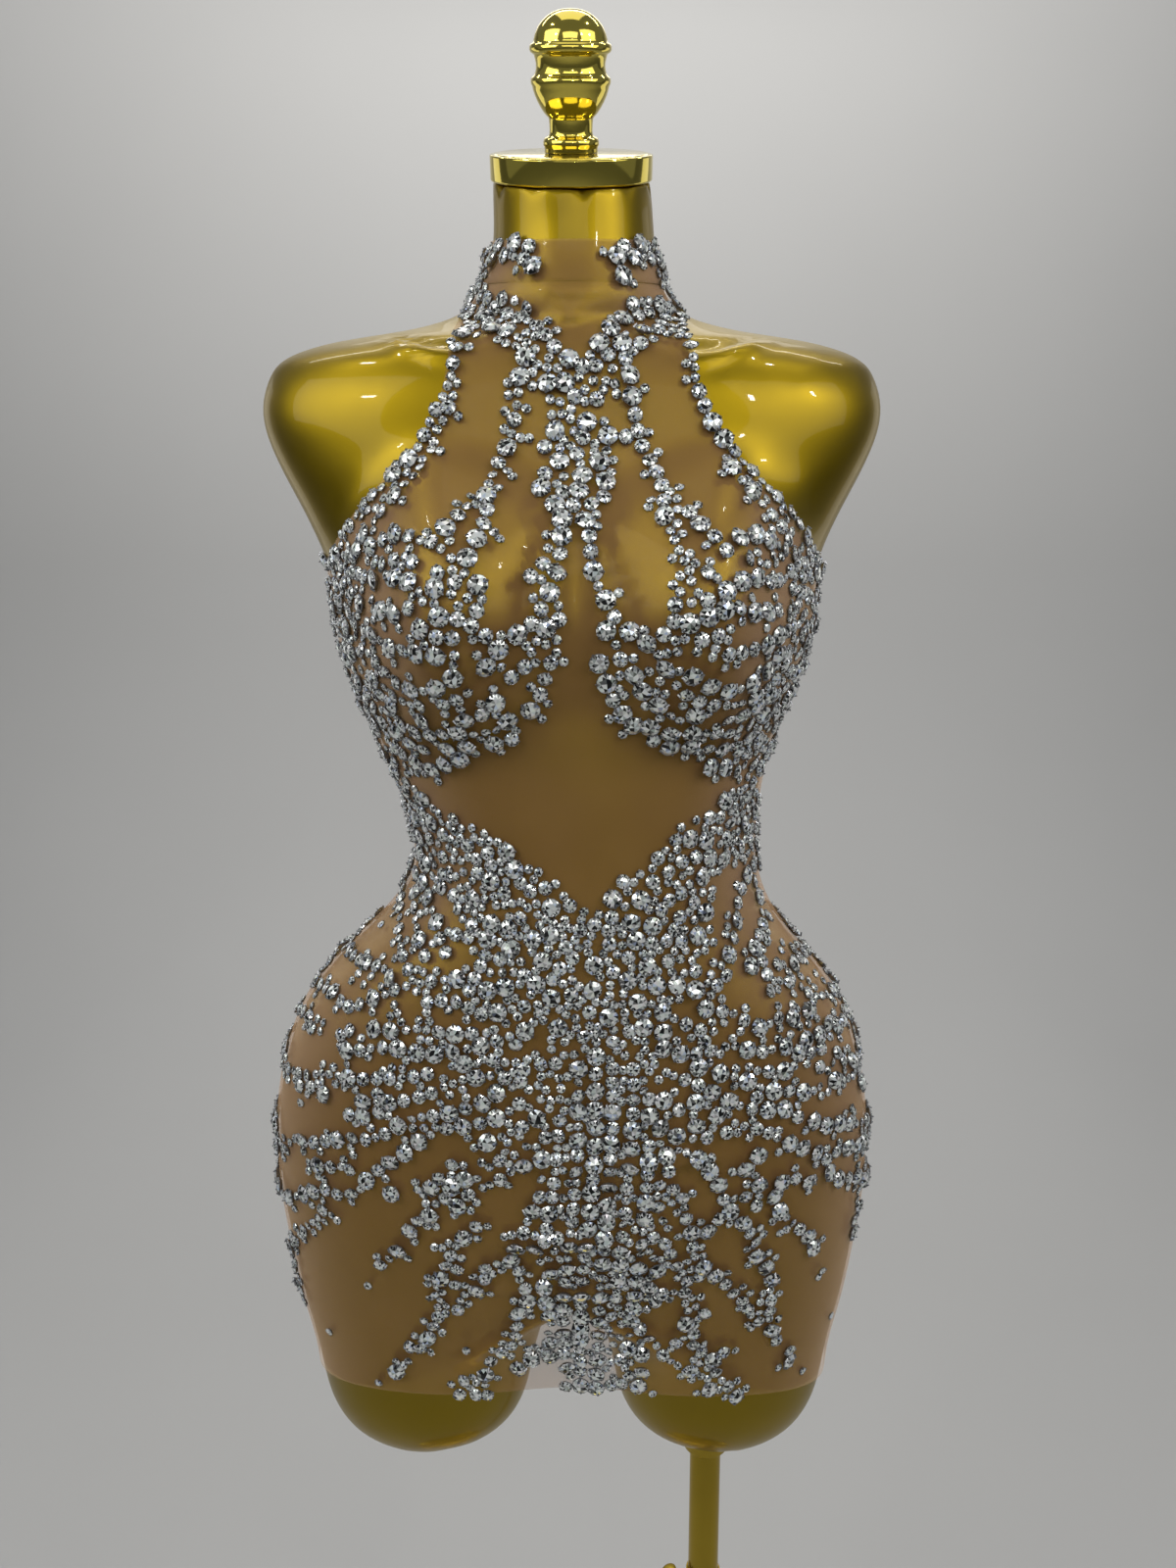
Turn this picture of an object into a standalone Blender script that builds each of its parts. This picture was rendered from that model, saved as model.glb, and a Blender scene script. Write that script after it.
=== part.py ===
"""A sheer stretch-mesh halter dress on a gold, armless dress form with its pole stand.

Metres, +Z up. The front faces -Y and +X is the viewer's right. The origin is on the floor, under the middle
of the base plate. Sizes are in millimetres in the tables and become metres in the functions.
"""

import math
from collections import namedtuple

import bmesh
import bpy
import numpy as np
from mathutils import Matrix, Vector

MM = 0.001

# Gaps that keep neighbouring solids apart
SEAM_GAP = 0.3
SEAT_GAP = 0.3
RUNNING_GAP = 0.4

# The dress form's trunk, from the top of the neck down to the thighs. A row is one level cut of the form:
# height above the floor, half of its width, how far it reaches forwards and back from its centre, where the
# centre lies, how square its front and back curves are (2 is an ellipse), and how far the cut leans forwards.
Section = namedtuple(
    "Section", "height half_width front back centre_x centre_y front_power back_power tilt"
)
TRUNK = [
    Section(1585.5, 46.0, 46.0, 46.0, 1.0, -8.0, 2.0, 2.0, 22.0),
    Section(1570.0, 46.8, 46.8, 46.8, 2.0, -6.5, 2.0, 2.0, 18.0),
    Section(1553.6, 47.4, 49.0, 49.0, 2.5, -5.0, 2.0, 2.0, 14.0),
    Section(1540.0, 50.0, 52.0, 52.0, 2.0, -3.5, 2.0, 2.0, 12.0),
    Section(1527.7, 54.0, 57.0, 57.0, 1.0, -2.0, 2.0, 2.0, 10.0),
    Section(1520.0, 59.0, 60.0, 60.0, 1.0, 0.0, 1.9, 1.9, 8.5),
    Section(1514.0, 66.0, 62.0, 62.0, 1.0, 1.0, 1.6, 1.6, 7.5),
    Section(1509.0, 80.0, 63.5, 64.0, 1.0, 2.0, 1.35, 1.4, 6.5),
    Section(1505.0, 98.0, 65.0, 66.0, 1.0, 3.0, 1.25, 1.3, 5.5),
    Section(1501.5, 124.0, 66.0, 68.0, 1.0, 4.0, 1.25, 1.3, 5.0),
    Section(1498.0, 148.0, 67.0, 70.0, 1.0, 5.0, 1.35, 1.4, 4.0),
    Section(1493.5, 164.5, 68.5, 72.0, 1.0, 5.0, 1.55, 1.6, 3.0),
    Section(1487.0, 177.0, 70.5, 74.5, 1.0, 5.0, 1.85, 1.9, 2.0),
    Section(1478.0, 183.5, 72.5, 77.0, 1.0, 5.0, 2.15, 2.2, 1.0),
    Section(1465.0, 188.5, 75.0, 80.0, 1.0, 5.0, 2.4, 2.4, 0.0),
    Section(1450.0, 188.0, 77.0, 83.0, 1.0, 5.0, 2.5, 2.5, 0.0),
    Section(1434.0, 183.0, 79.0, 86.0, 1.0, 5.0, 2.5, 2.5, 0.0),
    Section(1417.0, 175.0, 81.0, 88.0, 1.0, 5.0, 2.5, 2.5, 0.0),
    Section(1399.0, 165.5, 83.0, 89.0, 1.0, 4.0, 2.4, 2.4, 0.0),
    Section(1381.0, 157.0, 84.0, 89.0, 1.0, 3.0, 2.4, 2.4, 0.0),
    Section(1363.0, 150.5, 84.0, 88.0, 1.5, 2.0, 2.3, 2.3, 0.0),
    Section(1345.0, 148.5, 84.0, 87.0, 2.0, 1.0, 2.3, 2.3, 0.0),
    Section(1327.0, 147.0, 84.0, 85.0, 2.5, 0.0, 2.3, 2.3, 0.0),
    Section(1309.0, 141.5, 84.0, 83.0, 1.5, 0.0, 2.3, 2.3, 0.0),
    Section(1271.0, 127.5, 87.0, 76.0, 2.0, 0.0, 2.3, 2.3, 0.0),
    Section(1233.0, 114.5, 90.0, 68.0, 5.5, 0.0, 2.2, 2.2, 0.0),
    Section(1195.0, 107.0, 92.0, 63.0, 9.0, 0.0, 2.2, 2.2, 0.0),
    Section(1175.0, 108.0, 93.5, 65.0, 9.5, 0.0, 2.2, 2.2, 0.0),
    Section(1155.0, 116.5, 95.0, 70.0, 8.0, 0.0, 2.2, 2.2, 0.0),
    Section(1136.0, 131.0, 97.0, 77.0, 3.0, 0.0, 2.2, 2.2, 0.0),
    Section(1115.0, 153.0, 98.5, 85.0, 1.5, 0.0, 2.2, 2.2, 0.0),
    Section(1095.0, 170.0, 99.5, 91.0, 1.0, 0.0, 2.2, 2.2, 0.0),
    Section(1054.0, 187.5, 100.0, 101.0, 0.0, 0.0, 2.25, 2.2, 0.0),
    Section(1012.0, 195.0, 99.0, 108.0, 0.0, 0.0, 2.3, 2.25, 0.0),
    Section(970.0, 195.5, 95.0, 109.0, 0.0, 0.0, 2.3, 2.3, 0.0),
    Section(926.0, 191.5, 88.0, 104.0, 0.0, 0.0, 2.25, 2.3, 0.0),
    Section(882.0, 185.5, 80.0, 94.0, 0.0, 0.0, 2.2, 2.25, 0.0),
    Section(837.0, 176.0, 75.0, 86.0, 0.0, 0.0, 2.15, 2.2, 0.0),
    Section(769.0, 171.0, 73.0, 82.0, 0.0, 0.0, 2.15, 2.2, 0.0),
]

# Levels at which the form and the dress both have a ring of points, from the neck down
Band = namedtuple("Band", "top bottom steps")
LEVEL_BANDS = [
    Band(1585.5, 1553.6, 2),
    Band(1553.6, 1527.7, 2),
    Band(1527.7, 1514.0, 2),
    Band(1514.0, 1505.0, 2),
    Band(1505.0, 1498.0, 2),
    Band(1498.0, 1478.0, 3),
    Band(1478.0, 1399.0, 5),
    Band(1399.0, 1374.0, 2),
    Band(1374.0, 1362.0, 1),
    Band(1362.0, 1239.0, 8),
    Band(1239.0, 1000.0, 10),
    Band(1000.0, 902.0, 6),
]
ANGLE_STEP = 9.0  # degrees between points round a ring
CROTCH_LEVEL = 902.0
COLLAR_SEAM_LEVEL = 1527.7
COLLAR_TOP_LEVEL = 1553.6

# Rounded bust, as one dome on each side that stands out from the chest
BUST_CENTRE_X = 5.5
BUST_APART = 75.5
BUST_LEVEL = 1334.0
BUST_RISE = 52.0
BUST_HALF_WIDTH = 69.0
BUST_ABOVE = 96.0
BUST_BELOW = 66.0
BUST_POWER = 1.25  # how steeply the dome rises at its edge
# The stretched mesh runs a little wider and lower than the form's own bust, and half across its middle
MESH_BUST_WIDER = 5.0
MESH_BUST_LOWER = 20.0
MESH_BUST_BRIDGE = 0.5

# Seat, as one low dome on each side of the back
SEAT_APART = 78.0
SEAT_LEVEL = 1002.0
SEAT_RISE = 14.0
SEAT_HALF_WIDTH = 78.0
SEAT_HALF_HEIGHT = 88.0
SEAT_POWER = 1.5

# A dome or a valley fades out towards the trunk's sides by this power of how far the surface faces forwards
FACING_POWER = 0.5

# The valley between the thighs, front and back
VALLEY_DEPTH = 12.0
VALLEY_HALF_WIDTH = 48.0
VALLEY_TOP = 965.0
VALLEY_FULL = 860.0

# Each thigh below the crotch: the level, how far its inner side is from the middle, how far the closed
# half-trunk has turned into a round thigh, and how much of its full size is left where its end rounds off
ThighRing = namedtuple("ThighRing", "level inner_x roundness size")
THIGH = [
    ThighRing(893.0, 4.5, 0.05, 1.0),
    ThighRing(878.0, 10.0, 0.25, 1.0),
    ThighRing(860.0, 16.0, 0.60, 1.0),
    ThighRing(842.0, 21.0, 0.90, 1.0),
    ThighRing(824.0, 25.0, 1.00, 0.99),
    ThighRing(808.0, 26.0, 1.00, 0.97),
    ThighRing(793.0, 26.0, 1.00, 0.91),
    ThighRing(780.0, 26.0, 1.00, 0.80),
    ThighRing(770.0, 26.0, 1.00, 0.62),
]
THIGH_INNER_STEPS = 8
THIGH_DEPTH_SHARE = 0.92

# The dress
MESH_CLEAR = 1.6  # the cloth's inner side stands this far off the form
MESH_WALL = 1.2
# How far from the middle the front panel's armhole edge lies at each level, and the back panel's
ArmholePoint = namedtuple("ArmholePoint", "level front_edge back_edge")
ARMHOLE = [
    ArmholePoint(1527.7, 56.0, 44.0),
    ArmholePoint(1514.0, 62.0, 47.0),
    ArmholePoint(1503.0, 65.5, 50.0),
    ArmholePoint(1472.0, 68.0, 58.0),
    ArmholePoint(1445.0, 75.0, 70.0),
    ArmholePoint(1430.0, 86.0, 84.0),
    ArmholePoint(1410.0, 103.5, 103.0),
    ArmholePoint(1393.0, 121.5, 121.5),
    ArmholePoint(1374.0, 140.5, 140.5),
    ArmholePoint(1362.0, 150.6, 150.6),
]
UNDERARM_LEVEL = 1362.0
# More rows in the cloth alone, where the armhole curves in under the arm
UNDERARM_LEVELS = [1369.5, 1366.0, 1363.6]
EDGE_COLUMN_STEP = 1.3  # degrees between the columns that crowd beside an armhole edge
HEM_STEPS = 5
HEM_FRONT = 845.0
HEM_BACK = 838.0
HEM_LEFT = 826.0
HEM_RIGHT = 819.0

# Drag creases across the front, where the tight mesh spans the thighs: the middle of each, half of its
# length, how far it stands out, how wide it is, and how far its right end lies below its left end
Crease = namedtuple("Crease", "x level half_length rise half_width slope")
CREASE_POWER = 1.5  # how gently a crease dies out along its length
CREASES = [
    Crease(8.0, 962.0, 66.0, 3.0, 8.5, 0.06),
    Crease(-12.0, 903.0, 48.0, 2.6, 8.0, -0.05),
    Crease(20.0, 868.0, 40.0, 2.2, 7.5, 0.04),
]

ZIP_HALF_WIDTH = 3.3
ZIP_BOTTOM_LEVEL = 1128.0
SLIDER_LEVEL = 1545.0
SLIDER_SIZE = (6.4, 9.0, 3.0)
SLIDER_BEVEL = 0.6
SLIDER_OFF = 0.55  # clear of the tape, whose facets bow out a little between their rows
EAR_SIZE = (0.9, 3.0, 5.0)
EAR_APART = 2.9
EAR_BEVEL = 0.3
PIN_RADIUS = 0.6
PIN_LENGTH = 5.8
PIN_RISE = 2.8  # the pin's axis above the slider's face
PULL_SIZE = (4.4, 24.0, 1.2)
PULL_BEVEL = 0.35
PULL_ABOVE_PIN = 2.0
KNUCKLE_RADIUS = 1.7
KNUCKLE_LENGTH = 3.6
PULL_HOLE_RADIUS = 0.95

# Neck cap and finial, turned about the neck's leaning axis
CAP_RADIUS = 47.2
CAP_HEIGHT = 14.5
CAP_BEVEL = 1.0
TurnPoint = namedtuple("TurnPoint", "radius height")
FINIAL = [
    TurnPoint(0.0, 69.6),
    TurnPoint(6.6, 69.0),
    TurnPoint(12.8, 66.6),
    TurnPoint(17.4, 62.3),
    TurnPoint(20.2, 56.9),
    TurnPoint(20.8, 53.6),
    TurnPoint(22.8, 52.2),
    TurnPoint(22.8, 49.4),
    TurnPoint(20.6, 47.4),
    TurnPoint(19.2, 43.0),
    TurnPoint(20.2, 39.0),
    TurnPoint(22.4, 36.4),
    TurnPoint(22.4, 33.4),
    TurnPoint(20.8, 29.0),
    TurnPoint(17.6, 23.4),
    TurnPoint(14.8, 18.6),
    TurnPoint(12.8, 17.0),
    TurnPoint(12.4, 9.4),
    TurnPoint(13.6, 7.8),
    TurnPoint(15.4, 6.6),
    TurnPoint(16.0, 3.6),
    TurnPoint(15.4, 0.0),
    TurnPoint(0.0, 0.0),
]

# The stand under the right thigh
POLE_X = 96.0
POLE_Y = 15.0
POLE_RADIUS = 11.0
POLE_BOTTOM = 300.0
SOCKET_FLANGE_RADIUS = 26.0
SOCKET_FLANGE_HEIGHT = 4.0
SOCKET_HUB_RADIUS = 16.0
SOCKET_FILLET = 1.5
SOCKET_HEIGHT = 32.0
SOCKET_BORE_DEPTH = 27.0
TUBE_RADIUS = 12.5
TUBE_BORE_RADIUS = POLE_RADIUS + RUNNING_GAP
TUBE_TOP = 634.0
BOSS_RADIUS = 6.0
BOSS_REACH = 17.5  # from the pole's axis to the boss's end
BOSS_ROOT = 5.5
BOSS_DROP = 11.0  # below the tube's rim
SCREW_RADIUS = 3.0
SCREW_HOLE_RADIUS = 3.4
SCREW_HUB_RADIUS = 5.0
SCREW_HUB_LENGTH = 6.0
SCREW_SHANK_SHORT = 1.0  # the shank ends this far inside the hub
LOBE_LENGTH = 17.0
LOBE_HEIGHT = 11.0
LOBE_WALL = 2.6
LOBE_OUT = 7.6  # a lobe's middle from the screw's axis
LOBE_PAST_HUB = 1.2
LOBE_LEAN = 28.0  # degrees
BASE_RADIUS = 190.0
BASE_HEIGHT = 8.0
BASE_RIM_BEVEL = 2.5
TUBE_BOTTOM = BASE_HEIGHT + SEAT_GAP
BASE_SOCKET_FLANGE_RADIUS = 34.0
BASE_SOCKET_FLANGE_HEIGHT = 5.0
BASE_SOCKET_BEVEL = 1.5
BASE_SOCKET_RADIUS = 17.0
BASE_SOCKET_HEIGHT = 45.0
BASE_SOCKET_RIM_BEVEL = 1.0

# Colour, roughness, metallic and how solid each finish is
Finish = namedtuple("Finish", "colour roughness metallic alpha")
FINISHES = {
    "mesh": Finish((0.52, 0.27, 0.15), 0.75, 0.0, 0.6),
    "zip": Finish((0.55, 0.32, 0.2), 0.6, 0.0, 1.0),
    "zip_metal": Finish((0.7, 0.68, 0.62), 0.3, 1.0, 1.0),
    "gold_lacquer": Finish((0.5, 0.36, 0.03), 0.28, 1.0, 1.0),
    "polished_gold": Finish((0.85, 0.68, 0.2), 0.08, 1.0, 1.0),
    "brass": Finish((0.7, 0.52, 0.16), 0.2, 1.0, 1.0),
}


def clear_scene():
    """Remove the startup objects."""
    for thing in list(bpy.data.objects):
        bpy.data.objects.remove(thing, do_unlink=True)


def finish_material(name):
    """The Principled material of one named finish."""
    material = bpy.data.materials.get(name)
    if material:
        return material
    finish = FINISHES[name]
    material = bpy.data.materials.new(name)
    material.use_nodes = True
    shader = material.node_tree.nodes["Principled BSDF"]
    shader.inputs["Base Color"].default_value = (*finish.colour, 1.0)
    shader.inputs["Roughness"].default_value = finish.roughness
    shader.inputs["Metallic"].default_value = finish.metallic
    shader.inputs["Alpha"].default_value = finish.alpha
    return material


def add_object(name, mesh, finish, collection, smooth_angle=math.radians(35)):
    """Put a mesh in the collection as a named object with one finish."""
    mesh.name = name
    mesh.materials.append(finish_material(finish))
    thing = bpy.data.objects.new(name, mesh)
    collection.objects.link(thing)
    mesh.shade_smooth()
    mesh.set_sharp_from_angle(angle=smooth_angle)
    return thing


def monotone_curve(at, knots, values):
    """Smooth interpolation that never overshoots its knots (knots may run either way)."""
    order = np.argsort(knots)
    x, y = np.asarray(knots, float)[order], np.asarray(values, float)[order]
    step, slope = np.diff(x), np.diff(y) / np.diff(x)
    tangent = np.empty_like(y)
    tangent[0], tangent[-1] = slope[0], slope[-1]
    same_way = slope[:-1] * slope[1:] > 0
    weight = 2 * step[1:] + step[:-1], step[1:] + 2 * step[:-1]
    safe = np.where(same_way, slope[:-1], 1.0), np.where(same_way, slope[1:], 1.0)
    mean = (weight[0] + weight[1]) / (weight[0] / safe[0] + weight[1] / safe[1])
    tangent[1:-1] = np.where(same_way, mean, 0.0)
    at = np.clip(at, x[0], x[-1])
    cell = np.clip(np.searchsorted(x, at, side="right") - 1, 0, len(x) - 2)
    t = (at - x[cell]) / step[cell]
    return (
        (1 + 2 * t) * (1 - t) ** 2 * y[cell]
        + t * (1 - t) ** 2 * step[cell] * tangent[cell]
        + t**2 * (3 - 2 * t) * y[cell + 1]
        + t**2 * (t - 1) * step[cell] * tangent[cell + 1]
    )


def trunk_column(name, level):
    """One column of the trunk's table at any level."""
    heights = [row.height for row in TRUNK]
    return monotone_curve(level, heights, [getattr(row, name) for row in TRUNK])


def table_column(table, name, level):
    """One column of another table that has a level column."""
    return monotone_curve(level, [row.level for row in table], [getattr(row, name) for row in table])


def smoothstep(t):
    """0 to 1 with level ends."""
    t = np.clip(t, 0.0, 1.0)
    return t * t * (3 - 2 * t)


def dome(x, level, centre_x, centre_level, half_width, above, below, power):
    """A rounded bump of height 1 that fades to nothing at its edge."""
    reach = np.where(level > centre_level, above, below)
    away = ((x - centre_x) / half_width) ** 2 + ((level - centre_level) / reach) ** 2
    return np.clip(1 - away, 0.0, 1.0) ** power


def bust_rise(x, level, mesh):
    """How far the bust stands out in front of the chest, on the form or, wider, in the mesh."""
    half_width = BUST_HALF_WIDTH + MESH_BUST_WIDER * mesh
    below = BUST_BELOW + MESH_BUST_LOWER * mesh
    total = np.zeros_like(x)
    for side in (-1, 1):
        centre = BUST_CENTRE_X + side * BUST_APART
        total += dome(x, level, centre, BUST_LEVEL, half_width, BUST_ABOVE, below, BUST_POWER)
    if mesh:
        across = np.clip(1 - ((x - BUST_CENTRE_X) / BUST_APART) ** 2, 0.0, 1.0)
        bridge = dome(x * 0, level, 0.0, BUST_LEVEL, 1.0, BUST_ABOVE, below, 1.0)
        total = np.cbrt(total**3 + (MESH_BUST_BRIDGE * across * bridge) ** 3)
    return BUST_RISE * total


def seat_rise(x, level):
    """How far the seat stands out behind."""
    total = np.zeros_like(x)
    half_height = SEAT_HALF_HEIGHT
    for side in (-1, 1):
        centre = side * SEAT_APART
        total += dome(x, level, centre, SEAT_LEVEL, SEAT_HALF_WIDTH, half_height, half_height, SEAT_POWER)
    return SEAT_RISE * total


def valley(x, level):
    """How far the surface sinks between the thighs."""
    grown = smoothstep((VALLEY_TOP - level) / (VALLEY_TOP - VALLEY_FULL))
    return VALLEY_DEPTH * grown * np.exp(-((x / VALLEY_HALF_WIDTH) ** 2))


def crease_rise(x, level):
    """How far the drag creases stand out of the mesh."""
    total = np.zeros_like(x)
    for crease in CREASES:
        along = (x - crease.x) / crease.half_length
        off = (level - crease.level + crease.slope * (x - crease.x)) / crease.half_width
        total += crease.rise * np.clip(1 - along**2, 0.0, 1.0) ** CREASE_POWER * np.exp(-(off**2))
    return total


def surface(angle, level, mesh=0):
    """Points of the form (mesh=0) or of the line the stretched mesh follows (mesh=1), in millimetres.

    The angle runs round a ring: 0 at the right side, 90 degrees at the front, 270 at the back.
    """
    angle, level = np.broadcast_arrays(np.asarray(angle, float), np.asarray(level, float))
    c, s = np.cos(angle), np.sin(angle)
    front = s > 0
    power = np.where(front, trunk_column("front_power", level), trunk_column("back_power", level))
    depth = np.where(front, trunk_column("front", level), trunk_column("back", level))
    x = trunk_column("half_width", level) * np.sign(c) * np.abs(c) ** (2 / power)
    reach = depth * np.abs(s) ** (2 / power)
    x_world = x + trunk_column("centre_x", level)
    facing = np.abs(s) ** FACING_POWER
    front_extra = bust_rise(x_world, level, mesh) + mesh * crease_rise(x_world, level) - valley(x, level)
    back_extra = seat_rise(x_world, level) - valley(x, level)
    reach = reach + facing * np.where(front, front_extra, back_extra)
    y = np.where(front, -reach, reach)
    lean = np.tan(np.radians(trunk_column("tilt", level)))
    return np.stack([x_world, y + trunk_column("centre_y", level), level + y * lean], axis=-1)


def mesh_line(angle, level, out):
    """Points this far out from the line that the stretched mesh follows, in millimetres."""
    small_angle, small_level = 0.004, 0.5
    here = surface(angle, level, 1)
    round_ring = surface(angle + small_angle, level, 1) - surface(angle - small_angle, level, 1)
    up = surface(angle, level + small_level, 1) - surface(angle, level - small_level, 1)
    normal = np.cross(up, round_ring)
    normal /= np.maximum(np.linalg.norm(normal, axis=-1, keepdims=True), 1e-9)
    return here + out * normal


def edge_angle(edge, level):
    """The angle from the side at which the front or back surface is this far from the middle."""
    power = trunk_column("front_power", level)
    share = np.clip(edge / trunk_column("half_width", level), 0.0, 1.0)
    return np.arccos(share ** (power / 2))


def shared_levels():
    """Every level that the form and the dress share, from the top of the neck down."""
    levels = []
    for band in LEVEL_BANDS:
        levels += list(np.linspace(band.top, band.bottom, band.steps, endpoint=False))
    return np.array(levels + [CROTCH_LEVEL])


def closed_mesh(points, faces):
    """A closed mesh from points in millimetres and its faces, with every face turned outwards."""
    mesh = bpy.data.meshes.new("loft")
    mesh.from_pydata([tuple(p) for p in np.asarray(points) * MM], [], faces)
    shape = bmesh.new()
    shape.from_mesh(mesh)
    bmesh.ops.recalc_face_normals(shape, faces=shape.faces)
    shape.to_mesh(mesh)
    shape.free()
    return mesh


def grid_faces(rows, columns):
    """Quads of a grid of points, with rows that run down and columns that run from the right to the left."""
    return [
        (r * columns + c, r * columns + c + 1, (r + 1) * columns + c + 1, (r + 1) * columns + c)
        for r in range(rows - 1)
        for c in range(columns - 1)
    ]


def build_torso(collection):
    """The armless form: a closed trunk that parts into two short thighs with rounded ends."""
    levels = shared_levels()
    angles = np.radians(np.arange(0.0, 360.0, ANGLE_STEP))
    around = len(angles)
    trunk = surface(angles[None, :], levels[:, None])
    points = [tuple(p) for p in trunk.reshape(-1, 3)]
    faces = []
    for r in range(len(levels) - 1):
        upper = list(range(r * around, (r + 1) * around))
        faces += ring_faces(upper, [i + around for i in upper])
    faces.append(tuple(range(around)))
    last_ring = (len(levels) - 1) * around
    front_index, back_index = around // 4, 3 * around // 4
    crotch = build_crotch_line(points, last_ring + front_index, last_ring + back_index)
    for side in (1, -1):
        outer = thigh_outer_indices(side, around, front_index, back_index)
        ring = [last_ring + i for i in outer] + crotch
        angles_outer = angles[outer]
        for row in THIGH:
            new = thigh_ring(row, angles_outer, side)
            start = len(points)
            points += [tuple(p) for p in new]
            below = list(range(start, start + len(new)))
            faces += ring_faces(ring, below)
            ring = below
        faces.append(tuple(ring))
    return add_object("form_torso", closed_mesh(points, faces), "gold_lacquer", collection)


def build_crotch_line(points, front, back):
    """Add the points between the thighs, from the back to the front, and return their indices."""
    start = len(points)
    a, b = np.array(points[back]), np.array(points[front])
    for k in range(1, THIGH_INNER_STEPS):
        points.append(tuple(a + (b - a) * k / THIGH_INNER_STEPS))
    return list(range(start, start + THIGH_INNER_STEPS - 1))


def thigh_outer_indices(side, around, front_index, back_index):
    """Ring indices of a thigh's outer half, from the front middle round the side to the back middle."""
    if side == 1:
        return [(front_index - k) % around for k in range(around // 2 + 1)]
    return list(range(front_index, back_index + 1))


def thigh_ring(row, angles_outer, side):
    """One level cut of a thigh: half of the trunk's own ring, turned by degrees into a round thigh."""
    half = surface(angles_outer, row.level)
    outer_x = float(trunk_column("half_width", row.level))
    squeezed = half.copy()
    squeezed[:, 0] = side * (row.inner_x + np.abs(half[:, 0]) * (outer_x - row.inner_x) / outer_x)
    share = np.arange(1, THIGH_INNER_STEPS) / THIGH_INNER_STEPS
    inner = squeezed[-1] + (squeezed[0] - squeezed[-1]) * share[:, None]
    closed = np.vstack([squeezed, inner])
    centre_x = (outer_x + row.inner_x) / 2
    half_width = (outer_x - row.inner_x) / 2
    at_centre = float(edge_angle(centre_x, row.level))
    front = -surface(at_centre, row.level)[1] * THIGH_DEPTH_SHARE
    back = surface(-at_centre, row.level)[1] * THIGH_DEPTH_SHARE
    outer_turn = np.linspace(math.pi / 2, -math.pi / 2, len(angles_outer))
    inner_turn = -math.pi / 2 - math.pi * share
    turn = np.concatenate([outer_turn, inner_turn])
    depth = np.where(np.sin(turn) > 0, front, back)
    round_x = side * (centre_x + half_width * np.cos(turn))
    rounded = np.stack([round_x, -depth * np.sin(turn), np.full(len(turn), row.level)], axis=-1)
    ring = closed * (1 - row.roundness) + rounded * row.roundness
    middle = np.array([side * centre_x, (back - front) / 2, row.level])
    return middle + (ring - middle) * np.array([row.size, row.size, 1.0])


def ring_faces(above, below):
    """Quads between two closed rings of the same length."""
    return [
        (above[k - 1], above[k], below[k], below[k - 1])
        for k in range(len(above))
    ]


def hem_level(angle):
    """Height of the hem round the skirt: it dips at the sides."""
    side = np.where(np.cos(angle) > 0, HEM_RIGHT, HEM_LEFT)
    end = np.where(np.sin(angle) > 0, HEM_FRONT, HEM_BACK)
    share = np.sin(angle) ** 2
    return end * share + side * (1 - share)


def panel_levels(top):
    """Levels of a panel's rows from its top edge to the crotch level, and the shares of its hem rows."""
    levels = [level for level in shared_levels() if level <= top + 0.01] + UNDERARM_LEVELS
    return np.array(sorted(levels, reverse=True)), np.arange(1, HEM_STEPS + 1) / HEM_STEPS


def quarter_angles(first):
    """Angles from a panel's outer edge to its middle, on the form's own columns wherever there is room."""
    columns = np.radians(np.arange(0.0, 90.0 + ANGLE_STEP / 2, ANGLE_STEP))
    crowded = first + np.radians(EDGE_COLUMN_STEP) * np.arange(len(columns))
    return np.maximum(columns, crowded)


def cloth_piece(name, angles, levels, finish, collection):
    """A cloth wall over a grid of angles and levels, as a closed loft between its inner and outer side.

    Both sides follow the same normals, so the walls of two pieces stay parallel along their seam.
    """
    rows, columns = angles.shape
    inner = mesh_line(angles, levels, MESH_CLEAR).reshape(-1, 3)
    outer = mesh_line(angles, levels, MESH_CLEAR + MESH_WALL).reshape(-1, 3)
    count = rows * columns
    outside = grid_faces(rows, columns)
    faces = [tuple(count + i for i in face) for face in outside]
    faces += [tuple(reversed(face)) for face in outside]
    rim = list(range(columns))
    rim += [r * columns + columns - 1 for r in range(1, rows)]
    rim += [(rows - 1) * columns + c for c in range(columns - 2, -1, -1)]
    rim += [r * columns for r in range(rows - 2, 0, -1)]
    for k, a in enumerate(rim):
        b = rim[(k + 1) % len(rim)]
        faces.append((a, b, count + b, count + a))
    return add_object(name, closed_mesh(np.vstack([inner, outer]), faces), finish, collection)


def seam_angle(level, half):
    """The angle at which the front or back half of the trunk is half a seam gap away from its side line."""
    share = SEAM_GAP / 2 / trunk_column(half, level)
    return float(np.arcsin(share ** (trunk_column(f"{half}_power", level) / 2)))


def build_front(collection):
    """The front panel, from the collar seam to the hem, between its armhole edges and side seams."""
    levels, hem_shares = panel_levels(COLLAR_SEAM_LEVEL)
    angles, heights = [], []
    for level in levels:
        side = seam_angle(level, "front")
        if level > UNDERARM_LEVEL:
            side = max(side, float(edge_angle(table_column(ARMHOLE, "front_edge", level), level)))
        right = quarter_angles(side)
        angles.append(np.concatenate([right, math.pi - right[-2::-1]]))
        heights.append(np.full(len(angles[-1]), level))
    for hem_share in hem_shares:
        angles.append(angles[-1])
        heights.append(CROTCH_LEVEL + (hem_level(angles[-1]) - CROTCH_LEVEL) * hem_share)
    return cloth_piece("front", np.array(angles), np.array(heights), "mesh", collection)


def back_angle(distance, level):
    """The angle of a point on the back this far to the right of the back's own middle."""
    power = float(trunk_column("back_power", level))
    share = np.clip(abs(distance) / float(trunk_column("half_width", level)), 0.0, 1.0)
    turn = math.acos(share ** (power / 2))
    return -turn if distance > 0 else math.pi + turn


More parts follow.
